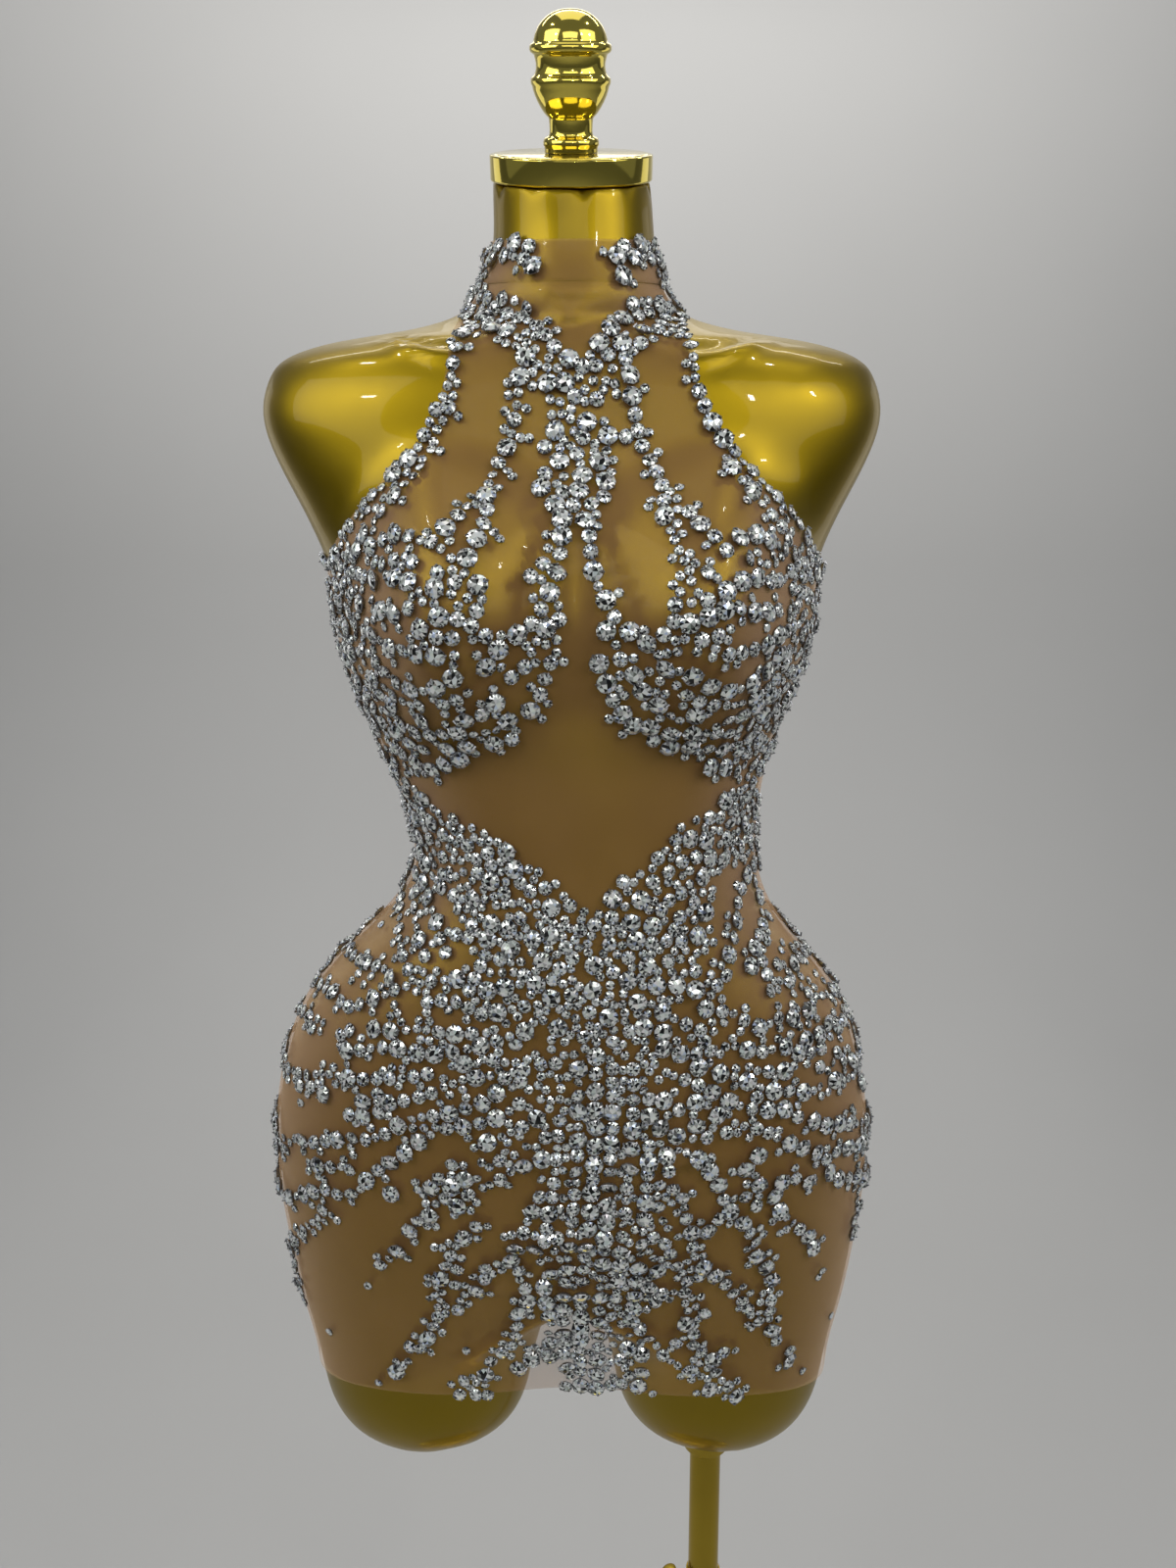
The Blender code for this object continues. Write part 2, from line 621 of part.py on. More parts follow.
def zip_edge(level):
    """How far from the back's middle a back panel starts: beside the zip, or at the centre seam below it."""
    return ZIP_HALF_WIDTH + SEAM_GAP if level > ZIP_BOTTOM_LEVEL - SEAM_GAP else SEAM_GAP / 2


def build_back(name, side, collection):
    """One back panel, from its side seam to the zip, and below the zip to the centre seam."""
    levels, hem_shares = panel_levels(COLLAR_SEAM_LEVEL)
    angles, heights = [], []
    for level in levels:
        outer = seam_angle(level, "back")
        if level > UNDERARM_LEVEL:
            outer = max(outer, float(edge_angle(table_column(ARMHOLE, "back_edge", level), level)))
        quarter = quarter_angles(outer)
        quarter[-1] = abs(back_angle(zip_edge(level), level))
        angles.append(-quarter if side == 1 else math.pi + quarter)
        heights.append(np.full(len(quarter), level))
    for hem_share in hem_shares:
        angles.append(angles[-1])
        heights.append(CROTCH_LEVEL + (hem_level(angles[-1]) - CROTCH_LEVEL) * hem_share)
    return cloth_piece(name, np.array(angles), np.array(heights), "mesh", collection)


def build_collar(collection):
    """The stand collar, from one side of the zip round the neck to the other."""
    bottom = COLLAR_SEAM_LEVEL + SEAM_GAP
    levels = [COLLAR_TOP_LEVEL, bottom]
    columns = int(round(360 / ANGLE_STEP)) + 1
    angles = []
    for level in levels:
        first = back_angle(ZIP_HALF_WIDTH + SEAM_GAP, level)
        last = back_angle(-ZIP_HALF_WIDTH - SEAM_GAP, level)
        angles.append(np.linspace(first, last, columns))
    heights = np.repeat(np.array(levels)[:, None], columns, axis=1)
    return cloth_piece("collar_band", np.array(angles), heights, "mesh", collection)


def zip_levels():
    """Levels of the zip's rows, which match those of the panels beside it."""
    inside = [level for level in shared_levels() if ZIP_BOTTOM_LEVEL < level < COLLAR_TOP_LEVEL - 1]
    return np.array([COLLAR_TOP_LEVEL] + inside)


def build_zip(collection):
    """The closed zip's tape, flush with the panels beside it."""
    levels = zip_levels()
    angles = []
    for level in levels:
        first, last = back_angle(-ZIP_HALF_WIDTH, level), back_angle(ZIP_HALF_WIDTH, level) + 2 * math.pi
        angles.append(np.linspace(first, last, 3))
    heights = np.repeat(levels[:, None], 3, axis=1)
    return cloth_piece("zip_tape", np.array(angles), heights, "zip", collection)


def place_on_zip(level, out):
    """A frame this far outside the zip: X to the right, Y down along the zip and Z outwards."""
    back = 1.5 * math.pi
    here = mesh_line(back, level, MESH_CLEAR + MESH_WALL)
    lower = mesh_line(back, level - SLIDER_SIZE[1] / 2, MESH_CLEAR + MESH_WALL)
    right = Vector((1.0, 0.0, 0.0))
    down = Vector(lower - here)
    down.x = 0.0
    down.normalize()
    outwards = right.cross(down)
    origin = Vector(here) + outwards * out
    frame = Matrix((right, down, outwards)).transposed().to_4x4()
    frame.translation = origin * MM
    return frame


def block(size, bevel):
    """A bevelled block of this size in millimetres, centred on its origin."""
    shape = bmesh.new()
    bmesh.ops.create_cube(shape, size=1.0)
    bmesh.ops.scale(shape, vec=Vector(size) * MM, verts=shape.verts)
    bmesh.ops.bevel(
        shape, geom=shape.edges[:], offset=bevel * MM, segments=1, profile=0.5, affect="EDGES", material=-1
    )
    mesh = bpy.data.meshes.new("block")
    shape.to_mesh(mesh)
    shape.free()
    return mesh


def cylinder(radius, length, segments=24):
    """A closed cylinder along Z in millimetres, centred on its origin."""
    shape = bmesh.new()
    bmesh.ops.create_cone(
        shape,
        cap_ends=True,
        segments=segments,
        radius1=radius * MM,
        radius2=radius * MM,
        depth=length * MM,
    )
    mesh = bpy.data.meshes.new("cylinder")
    shape.to_mesh(mesh)
    shape.free()
    return mesh


def helper(name, mesh, matrix, helpers):
    """A cutter or a joined shape that isn't a piece of its own."""
    thing = bpy.data.objects.new(name, mesh)
    helpers.objects.link(thing)
    thing.matrix_world = matrix
    thing.hide_render = True
    thing.display_type = "WIRE"
    return thing


def combine(thing, other, operation):
    """Join another shape to this one, or cut it away."""
    step = thing.modifiers.new(other.name, "BOOLEAN")
    step.operation = operation
    step.object = other
    step.solver = "EXACT"


def build_slider(collection, helpers):
    """The zip's slider: a block with two ears that hold the pull's pin."""
    frame = place_on_zip(SLIDER_LEVEL, SLIDER_OFF + SLIDER_SIZE[2] / 2)
    thing = add_object("zip_slider", block(SLIDER_SIZE, SLIDER_BEVEL), "zip_metal", collection)
    thing.matrix_world = frame
    pin_frame = place_on_zip(SLIDER_LEVEL, SLIDER_OFF + SLIDER_SIZE[2] + PIN_RISE)
    ear_top = EAR_SIZE[1] / 2
    for side in (-1, 1):
        ear_at = Matrix.Translation(Vector((side * EAR_APART, 0.0, ear_top - EAR_SIZE[2] / 2)) * MM)
        ear = helper(f"ear_{side + 1}", block(EAR_SIZE, EAR_BEVEL), pin_frame @ ear_at, helpers)
        combine(thing, ear, "UNION")
    pin_at = pin_frame @ Matrix.Rotation(math.pi / 2, 4, "Y")
    pin = helper("pin", cylinder(PIN_RADIUS, PIN_LENGTH, 12), pin_at, helpers)
    combine(thing, pin, "UNION")
    return thing


def build_pull(collection, helpers):
    """The pull tab, hanging down from its pin, which is its joint's axis."""
    frame = place_on_zip(SLIDER_LEVEL, SLIDER_OFF + SLIDER_SIZE[2] + PIN_RISE)
    mesh = block(PULL_SIZE, PULL_BEVEL)
    mesh.transform(Matrix.Translation(Vector((0.0, PULL_SIZE[1] / 2 - PULL_ABOVE_PIN, 0.0)) * MM))
    thing = add_object("zip_pull", mesh, "zip_metal", collection)
    thing.matrix_world = frame
    turn = Matrix.Rotation(math.pi / 2, 4, "Y")
    knuckle = helper("knuckle", cylinder(KNUCKLE_RADIUS, KNUCKLE_LENGTH, 20), frame @ turn, helpers)
    combine(thing, knuckle, "UNION")
    hole = helper("pull_hole", cylinder(PULL_HOLE_RADIUS, 2 * PULL_SIZE[0], 16), frame @ turn, helpers)
    combine(thing, hole, "DIFFERENCE")
    return thing


def turned(name, profile, finish, collection, segments=32, closed=False, matrix=None):
    """A piece turned about Z from a profile in millimetres that runs down its outer side."""
    mesh = bpy.data.meshes.new(name)
    points = [(point.radius * MM, 0.0, point.height * MM) for point in profile]
    edges = [(k, k + 1) for k in range(len(points) - 1)]
    if closed:
        edges.append((len(points) - 1, 0))
    mesh.from_pydata(points, edges, [])
    thing = add_object(name, mesh, finish, collection)
    turn = thing.modifiers.new("turn", "SCREW")
    turn.steps = segments
    turn.render_steps = segments
    turn.use_merge_vertices = True
    turn.merge_threshold = 0.00001
    turn.use_smooth_shade = True
    if matrix is not None:
        thing.matrix_world = matrix
    return thing


def neck_frame(along):
    """A frame on the neck's leaning axis, this far above the neck's flat top."""
    top = TRUNK[0]
    lean = Matrix.Rotation(math.radians(top.tilt), 4, "X")
    frame = Matrix.Translation(Vector((top.centre_x, top.centre_y, top.height)) * MM) @ lean
    return frame @ Matrix.Translation((0.0, 0.0, along * MM))


def build_cap(collection):
    """The flat metal disc on the neck."""
    profile = [
        TurnPoint(0.0, CAP_HEIGHT),
        TurnPoint(CAP_RADIUS - CAP_BEVEL, CAP_HEIGHT),
        TurnPoint(CAP_RADIUS, CAP_HEIGHT - CAP_BEVEL),
        TurnPoint(CAP_RADIUS, CAP_BEVEL),
        TurnPoint(CAP_RADIUS - CAP_BEVEL, 0.0),
        TurnPoint(0.0, 0.0),
    ]
    return turned("neck_cap", profile, "polished_gold", collection, 40, matrix=neck_frame(SEAT_GAP))


def build_finial(collection):
    """The turned knob on the cap."""
    frame = neck_frame(CAP_HEIGHT + 2 * SEAT_GAP)
    return turned("finial", FINIAL, "polished_gold", collection, 20, matrix=frame)


def pole_frame(height):
    """A frame on the pole's upright axis."""
    return Matrix.Translation(Vector((POLE_X, POLE_Y, height)) * MM)


def build_pole_socket(collection):
    """The flanged socket under the thigh that the pole's end turns in."""
    top = THIGH[-1].level - SEAT_GAP
    profile = [
        TurnPoint(0.0, 0.0),
        TurnPoint(SOCKET_FLANGE_RADIUS, 0.0),
        TurnPoint(SOCKET_FLANGE_RADIUS, -SOCKET_FLANGE_HEIGHT),
        TurnPoint(SOCKET_HUB_RADIUS + SOCKET_FILLET, -SOCKET_FLANGE_HEIGHT),
        TurnPoint(SOCKET_HUB_RADIUS, -SOCKET_FLANGE_HEIGHT - SOCKET_FILLET),
        TurnPoint(SOCKET_HUB_RADIUS, -SOCKET_HEIGHT),
        TurnPoint(TUBE_BORE_RADIUS, -SOCKET_HEIGHT),
        TurnPoint(TUBE_BORE_RADIUS, -SOCKET_HEIGHT + SOCKET_BORE_DEPTH),
        TurnPoint(0.0, -SOCKET_HEIGHT + SOCKET_BORE_DEPTH),
    ]
    return turned("pole_socket", profile, "brass", collection, 24, matrix=pole_frame(top))


def build_inner_pole(collection):
    """The pole that slides in the stand's tube."""
    top = THIGH[-1].level - SEAT_GAP - SOCKET_HEIGHT + SOCKET_BORE_DEPTH - SEAT_GAP
    length = top - POLE_BOTTOM
    thing = add_object("inner_pole", cylinder(POLE_RADIUS, length), "brass", collection)
    thing.matrix_world = pole_frame((top + POLE_BOTTOM) / 2)
    return thing


def build_outer_tube(collection, helpers):
    """The stand's fixed tube, with a threaded boss for the clamp screw near its rim."""
    length = TUBE_TOP - TUBE_BOTTOM
    thing = add_object("outer_tube", cylinder(TUBE_RADIUS, length), "brass", collection)
    thing.matrix_world = pole_frame((TUBE_TOP + TUBE_BOTTOM) / 2)
    across = pole_frame(TUBE_TOP - BOSS_DROP) @ Matrix.Rotation(math.pi / 2, 4, "Y")
    boss_at = across @ Matrix.Translation((0.0, 0.0, -(BOSS_REACH + BOSS_ROOT) / 2 * MM))
    boss = helper("boss", cylinder(BOSS_RADIUS, BOSS_REACH - BOSS_ROOT, 20), boss_at, helpers)
    combine(thing, boss, "UNION")
    bore = helper("bore", cylinder(TUBE_BORE_RADIUS, 2 * length), thing.matrix_world.copy(), helpers)
    combine(thing, bore, "DIFFERENCE")
    hole_at = across @ Matrix.Translation((0.0, 0.0, -BOSS_REACH * MM))
    hole_mesh = cylinder(SCREW_HOLE_RADIUS, 2 * (BOSS_REACH - BOSS_ROOT), 16)
    hole = helper("screw_hole", hole_mesh, hole_at, helpers)
    combine(thing, hole, "DIFFERENCE")
    return thing


def build_clamp_screw(collection, helpers):
    """The winged screw that clamps the pole: a shank, a hub and two rounded lobes."""
    across = pole_frame(TUBE_TOP - BOSS_DROP) @ Matrix.Rotation(-math.pi / 2, 4, "Y")
    tip = POLE_RADIUS + SEAT_GAP
    head = BOSS_REACH + SEAT_GAP
    end = head + SCREW_HUB_LENGTH
    shank_end = end - SCREW_SHANK_SHORT
    shank = cylinder(SCREW_RADIUS, shank_end - tip, 16)
    shank.transform(Matrix.Translation((0.0, 0.0, (tip + shank_end) / 2 * MM)))
    thing = add_object("clamp_screw", shank, "brass", collection)
    thing.matrix_world = across
    hub_at = across @ Matrix.Translation((0.0, 0.0, (head + end) / 2 * MM))
    hub = helper("screw_hub", cylinder(SCREW_HUB_RADIUS, SCREW_HUB_LENGTH, 20), hub_at, helpers)
    combine(thing, hub, "UNION")
    for side in (-1, 1):
        lobe = cylinder(1.0, LOBE_WALL, 20)
        lobe.transform(Matrix.Diagonal((LOBE_HEIGHT / 2, LOBE_LENGTH / 2, 1.0, 1.0)))
        lobe.transform(Matrix.Rotation(math.pi / 2, 4, "Y"))
        lean = Matrix.Rotation(math.radians(side * LOBE_LEAN), 4, "X")
        middle = Matrix.Translation(Vector((0.0, -side * LOBE_OUT, end + LOBE_PAST_HUB)) * MM)
        combine(thing, helper(f"lobe_{side + 1}", lobe, across @ middle @ lean, helpers), "UNION")
    return thing


def build_base(collection):
    """The round plate on the floor and the socket that holds the tube."""
    plate = [
        TurnPoint(0.0, BASE_HEIGHT),
        TurnPoint(BASE_RADIUS - BASE_RIM_BEVEL, BASE_HEIGHT),
        TurnPoint(BASE_RADIUS, BASE_HEIGHT - BASE_RIM_BEVEL),
        TurnPoint(BASE_RADIUS, 0.0),
        TurnPoint(0.0, 0.0),
    ]
    turned("base_plate", plate, "brass", collection, 48)
    bottom = BASE_HEIGHT + SEAT_GAP
    inside = TUBE_RADIUS + SEAT_GAP
    socket = [
        TurnPoint(inside, BASE_SOCKET_HEIGHT),
        TurnPoint(BASE_SOCKET_RADIUS - BASE_SOCKET_RIM_BEVEL, BASE_SOCKET_HEIGHT),
        TurnPoint(BASE_SOCKET_RADIUS, BASE_SOCKET_HEIGHT - BASE_SOCKET_RIM_BEVEL),
        TurnPoint(BASE_SOCKET_RADIUS, BASE_SOCKET_FLANGE_HEIGHT),
        TurnPoint(BASE_SOCKET_FLANGE_RADIUS - BASE_SOCKET_BEVEL, BASE_SOCKET_FLANGE_HEIGHT),
        TurnPoint(BASE_SOCKET_FLANGE_RADIUS, BASE_SOCKET_FLANGE_HEIGHT - BASE_SOCKET_BEVEL),
        TurnPoint(BASE_SOCKET_FLANGE_RADIUS, 0.0),
        TurnPoint(inside, 0.0),
    ]
    turned("base_socket", socket, "brass", collection, 20, closed=True, matrix=pole_frame(bottom))


def main():
    """Build every piece in its collection."""
    clear_scene()
    dress_and_form = bpy.data.collections.new("mesh_dress_on_form")
    helpers = bpy.data.collections.new("cutters_and_joined_shapes")
    for collection in (dress_and_form, helpers):
        bpy.context.scene.collection.children.link(collection)
    build_torso(dress_and_form)
    build_front(dress_and_form)
    build_back("back_left", -1, dress_and_form)
    build_back("back_right", 1, dress_and_form)
    build_collar(dress_and_form)
    build_zip(dress_and_form)
    build_slider(dress_and_form, helpers)
    build_pull(dress_and_form, helpers)
    build_cap(dress_and_form)
    build_finial(dress_and_form)
    build_pole_socket(dress_and_form)
    build_inner_pole(dress_and_form)
    build_outer_tube(dress_and_form, helpers)
    build_clamp_screw(dress_and_form, helpers)
    build_base(dress_and_form)


main()
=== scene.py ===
"""Looks of a sheer stretch-mesh halter dress set with crystals, on a gold dress form with a brass pole stand.

Metres, +Z up, the front towards -Y. Stones are laid along rows drawn in the photograph's frame of
1200 by 1600 pixels, and every one of them sits on the cloth where its line of sight meets it.
"""

from __future__ import annotations

import logging
import math
import random
from collections import defaultdict
from dataclasses import dataclass, field, replace
from enum import Enum

import bmesh
import bpy
import numpy as np
from mathutils import Matrix, Vector
from mathutils.bvhtree import BVHTree

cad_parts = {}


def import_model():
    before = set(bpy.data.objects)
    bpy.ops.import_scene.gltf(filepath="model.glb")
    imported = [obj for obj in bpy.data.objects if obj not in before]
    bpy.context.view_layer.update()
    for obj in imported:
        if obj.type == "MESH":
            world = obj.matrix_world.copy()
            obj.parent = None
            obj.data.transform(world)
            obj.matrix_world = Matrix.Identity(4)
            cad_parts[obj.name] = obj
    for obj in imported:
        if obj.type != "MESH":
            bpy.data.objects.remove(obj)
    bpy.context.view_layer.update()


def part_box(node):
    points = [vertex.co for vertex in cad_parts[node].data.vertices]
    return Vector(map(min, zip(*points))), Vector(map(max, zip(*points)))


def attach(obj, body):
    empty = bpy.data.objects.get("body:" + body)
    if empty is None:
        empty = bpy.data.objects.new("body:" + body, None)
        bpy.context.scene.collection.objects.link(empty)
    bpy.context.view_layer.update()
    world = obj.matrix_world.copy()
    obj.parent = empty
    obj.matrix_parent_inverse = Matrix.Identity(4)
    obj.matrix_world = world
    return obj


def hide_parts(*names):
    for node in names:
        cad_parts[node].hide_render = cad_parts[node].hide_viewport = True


MM = 0.001
LOG = logging.getLogger("mesh_dress")
Pixel = tuple[float, float]
Spot = tuple[Vector, Vector]
Colour = tuple[float, float, float]
MIX_FACTOR, MIX_FIRST, MIX_SECOND, MIX_RESULT = 0, 6, 7, 2


class Body(Enum):
    """The rigid bodies that a piece can ride on."""

    STAND = "stand"
    MAST = "mast"
    FORM = "form"
    SCREW = "screw"
    PULL = "pull"


class Slot(Enum):
    """The record's material slots."""

    MESH = "mesh"
    ZIP_TAPE = "zip_tape"
    ZIP_METAL = "zip_metal"
    CRYSTAL = "crystal"
    SETTING = "setting"
    LACQUER = "gold_lacquer"
    POLISHED = "polished_gold"
    BRASS = "brass"


class StoneSize(Enum):
    """Girdle radius of each size of stone, in millimetres."""

    LARGE = 5.4
    MEDIUM = 4.1
    SMALL = 2.7


class Painter:
    """Adds nodes to one new material and links them."""

    def __init__(self, name: str) -> None:
        """Start a material with a Principled shader.

        Args:
            name: the material's name.
        """
        self.material = bpy.data.materials.new(name)
        self.material.use_nodes = True
        self.tree = self.material.node_tree
        self.shader = self.tree.nodes["Principled BSDF"]
        self.place = self.add("ShaderNodeTexCoord").outputs["Object"]

    def add(self, kind: str, **settings: object) -> bpy.types.Node:
        """Add a node.

        Args:
            kind: the node's type.
            **settings: values for its properties or, failing that, for its input sockets.

        Returns:
            The new node.
        """
        node = self.tree.nodes.new(kind)
        for key, value in settings.items():
            if hasattr(node, key):
                setattr(node, key, value)
            else:
                node.inputs[key.replace("_", " ")].default_value = value
        return node

    def link(self, source: bpy.types.NodeSocket, target: bpy.types.NodeSocket) -> None:
        """Join two sockets."""
        self.tree.links.new(source, target)

    def set(self, **values: object) -> None:
        """Set plain values on the shader, with an underscore for each space in a socket's name."""
        for key, value in values.items():
            self.shader.inputs[key.replace("_", " ")].default_value = value

    def noise(self, scale: float, detail: float = 2.0) -> bpy.types.NodeSocket:
        """Noise in object space.

        Args:
            scale: how many times it repeats in a metre, roughly.
            detail: its number of finer layers.

        Returns:
            The noise's value socket.
        """
        node = self.add("ShaderNodeTexNoise", Scale=scale, Detail=detail)
        self.link(self.place, node.inputs["Vector"])
        return node.outputs["Fac"]

    def lines(self, direction: str, period: float) -> bpy.types.NodeSocket:
        """Fine parallel lines across one axis.

        Args:
            direction: "X" or "Z", the axis that the lines cross.
            period: the distance between two lines, in metres.

        Returns:
            The pattern's value socket.
        """
        waves_per_unit = 20.0
        scale = 2 * math.pi / (waves_per_unit * period)
        node = self.add("ShaderNodeTexWave", bands_direction=direction, Scale=scale, Distortion=0.4)
        self.link(self.place, node.inputs["Vector"])
        return node.outputs["Fac"]

    def spread(self, source: bpy.types.NodeSocket, low: float, high: float) -> bpy.types.NodeSocket:
        """Stretch the middle of a noise, 0.3 to 0.7, to another range.

        Args:
            source: the noise.
            low: what 0.3 becomes.
            high: what 0.7 becomes.

        Returns:
            The new value's socket.
        """
        node = self.add("ShaderNodeMapRange", From_Min=0.3, From_Max=0.7, To_Min=low, To_Max=high)
        self.link(source, node.inputs["Value"])
        return node.outputs["Result"]

    def blend(
        self,
        factor: bpy.types.NodeSocket,
        first: Colour | bpy.types.NodeSocket,
        second: Colour,
    ) -> bpy.types.NodeSocket:
        """Mix two colours by a value.

        Args:
            factor: 0 gives the first colour and 1 the second.
            first: the first colour, or a socket that gives it.
            second: the second colour.

        Returns:
            The mixed colour's socket.
        """
        node = self.add("ShaderNodeMix", data_type="RGBA")
        self.link(factor, node.inputs[MIX_FACTOR])
        if isinstance(first, bpy.types.NodeSocket):
            self.link(first, node.inputs[MIX_FIRST])
        else:
            node.inputs[MIX_FIRST].default_value = (*first, 1.0)
        node.inputs[MIX_SECOND].default_value = (*second, 1.0)
        return node.outputs[MIX_RESULT]

    def colour(self, source: bpy.types.NodeSocket) -> None:
        """Join a colour to the shader's base colour."""
        self.link(source, self.shader.inputs["Base Color"])

    def roughen(self, source: bpy.types.NodeSocket) -> None:
        """Join a value to the shader's roughness."""
        self.link(source, self.shader.inputs["Roughness"])

    def bump(self, height: bpy.types.NodeSocket, strength: float, distance: float) -> None:
        """Raise the surface a little by a height value.

        Args:
            height: the height, 0 to 1.
            strength: how strongly it shows.
            distance: its real height, in metres.
        """
        node = self.add("ShaderNodeBump", Strength=strength, Distance=distance)
        self.link(height, node.inputs["Height"])
        if self.shader.inputs["Normal"].is_linked:
            before = self.shader.inputs["Normal"].links[0].from_socket
            self.link(before, node.inputs["Normal"])
        self.link(node.outputs["Normal"], self.shader.inputs["Normal"])


@dataclass(frozen=True)
class GoldLacquer:
    """Metallic gold paint with fine flakes under a glossy clear coat."""

    deep: Colour = (0.25, 0.170, 0.004)
    light: Colour = (0.31, 0.215, 0.008)
    tone_scale: float = 3.0
    flake_scale: float = 2600.0
    flake_height: float = 0.1 * MM
    roughness: tuple[float, float] = (0.37, 0.42)
    roughness_scale: float = 40.0

    def material(self) -> bpy.types.Material:
        """Build the material.

        Returns:
            The new material.
        """
        paint = Painter("gold_lacquer")
        paint.set(Metallic=1.0, Coat_Weight=0.28, Coat_Roughness=0.03, Coat_IOR=1.45)
        paint.colour(paint.blend(paint.noise(self.tone_scale), self.deep, self.light))
        paint.roughen(paint.spread(paint.noise(self.roughness_scale), *self.roughness))
        paint.bump(paint.noise(self.flake_scale, 0.0), 0.05, self.flake_height)
        return paint.material


@dataclass(frozen=True)
class PolishedMetal:
    """Mirror-polished metal with faint smears and hairline scratches."""

    name: str
    colour: Colour
    worn: Colour
    roughness: float
    smear: float = 2.2
    tone_scale: float = 14.0
    smear_scale: float = 30.0
    scratch_scale: float = 900.0
    scratch_depth: float = 0.1 * MM

    def material(self) -> bpy.types.Material:
        """Build the material.

        Returns:
            The new material.
        """
        paint = Painter(self.name)
        paint.set(Metallic=1.0)
        paint.colour(paint.blend(paint.noise(self.tone_scale), self.colour, self.worn))
        smears = paint.noise(self.smear_scale, 4.0)
        paint.roughen(paint.spread(smears, self.roughness, self.roughness * self.smear))
        paint.bump(paint.noise(self.scratch_scale, 1.0), 0.02, self.scratch_depth)
        return paint.material


@dataclass(frozen=True)
class StretchMesh:
    """Sheer skin-toned stretch mesh of fine crossing yarns, matt, with a painted sheen: paler and peach
    towards the body's sides.

    The mesh keeps how far it turns to the body's sides in an attribute of its own, which sets the painted
    sheen.
    """

    attribute: str = "painted_sheen"
    # painted sheen: the paler peach that the mesh is given towards the body's sides
    painted_sheen_colour: Colour = (0.92, 0.60, 0.38)
    colour: Colour = (0.50, 0.275, 0.112)
    shade: Colour = (0.385, 0.203, 0.070)
    sheen_tint: Colour = (1.0, 0.68, 0.38)
    alpha: float = 0.22
    yarn: float = 1.3 * MM
    yarn_height: float = 0.12 * MM
    patch_scale: float = 22.0
    roughness: tuple[float, float] = (0.62, 0.8)
    roughness_scale: float = 60.0

    def material(self) -> bpy.types.Material:
        """Build the material.

        Returns:
            The new material.
        """
        cloth = Painter("stretch_mesh")
        cloth.set(Metallic=0.0, Alpha=self.alpha, Sheen_Weight=1.0, Sheen_Roughness=0.45)
        cloth.set(Sheen_Tint=(*self.sheen_tint, 1.0), Specular_IOR_Level=0.25)
        rows = cloth.lines("Z", self.yarn)
        columns = cloth.lines("X", self.yarn)
        weave = cloth.add("ShaderNodeMath", operation="MULTIPLY")
        cloth.link(rows, weave.inputs[0])
        cloth.link(columns, weave.inputs[1])
        uneven = cloth.add("ShaderNodeMath", operation="MULTIPLY_ADD")
        cloth.link(weave.outputs[0], uneven.inputs[0])
        uneven.inputs[1].default_value = 0.5
        cloth.link(cloth.spread(cloth.noise(self.patch_scale, 3.0), 0.0, 0.5), uneven.inputs[2])
        woven_colour = cloth.blend(uneven.outputs[0], self.shade, self.colour)
        # painted sheen: the woven colour is blended towards a paler peach where the mesh turns to the body's
        # sides
        painted_sheen = cloth.add("ShaderNodeAttribute", attribute_name=self.attribute)
        cloth.colour(cloth.blend(painted_sheen.outputs["Fac"], woven_colour, self.painted_sheen_colour))
        cloth.roughen(cloth.spread(cloth.noise(self.roughness_scale), *self.roughness))
        cloth.bump(weave.outputs[0], 0.35, self.yarn_height)
        return cloth.material


@dataclass(frozen=True)
class ZipTape:
    """Dense woven tape, skin-toned."""

    colour: Colour = (0.50, 0.27, 0.15)
    shade: Colour = (0.40, 0.20, 0.10)
    rib: float = 0.9 * MM
    rib_height: float = 0.15 * MM

    def material(self) -> bpy.types.Material:
        """Build the material.

        Returns:
            The new material.
        """
        tape = Painter("zip_tape_weave")
        tape.set(Roughness=0.75, Sheen_Weight=0.3)
        ribs = tape.lines("Z", self.rib)
        tape.colour(tape.blend(ribs, self.shade, self.colour))
        tape.bump(ribs, 0.5, self.rib_height)
        return tape.material


@dataclass(frozen=True)
class CutGlass:
    """Foiled cut glass with painted reflections: each facet gets a bright, grey or near-black tone in place
    of the glints and dim facets that light gives it, kept in the mesh as a colour attribute.
    """

    attribute: str = "facet"
    roughness: tuple[float, float] = (0.03, 0.12)
    roughness_scale: float = 700.0

    def material(self) -> bpy.types.Material:
        """Build the material.

        Returns:
            The new material.
        """
        glass = Painter("cut_glass")
        glass.set(Metallic=0.5, Specular_IOR_Level=0.5)
        # painted reflections: each facet's colour attribute sets how bright it looks
        tone = glass.add("ShaderNodeAttribute", attribute_name=self.attribute)
        glass.colour(tone.outputs["Color"])
        glass.roughen(glass.spread(glass.noise(self.roughness_scale, 0.0), *self.roughness))
        return glass.material


@dataclass(frozen=True)
class ClawMetal:
    """Silver-grey stamped settings, mottled at random with a dark grey that is painted shade for the gaps
    between the stones.
    """

    colour: Colour = (0.40, 0.41, 0.43)
    # painted shade: the dark grey mixed into the settings at random
    gap_shade_grey: Colour = (0.12, 0.12, 0.13)
    tone_scale: float = 900.0
    roughness: tuple[float, float] = (0.22, 0.4)
    roughness_scale: float = 400.0

    def material(self) -> bpy.types.Material:
        """Build the material.

        Returns:
            The new material.
        """
        metal = Painter("claw_metal")
        metal.set(Metallic=0.8)
        metal.colour(metal.blend(metal.noise(self.tone_scale), self.gap_shade_grey, self.colour))
        metal.roughen(metal.spread(metal.noise(self.roughness_scale), *self.roughness))
        return metal.material


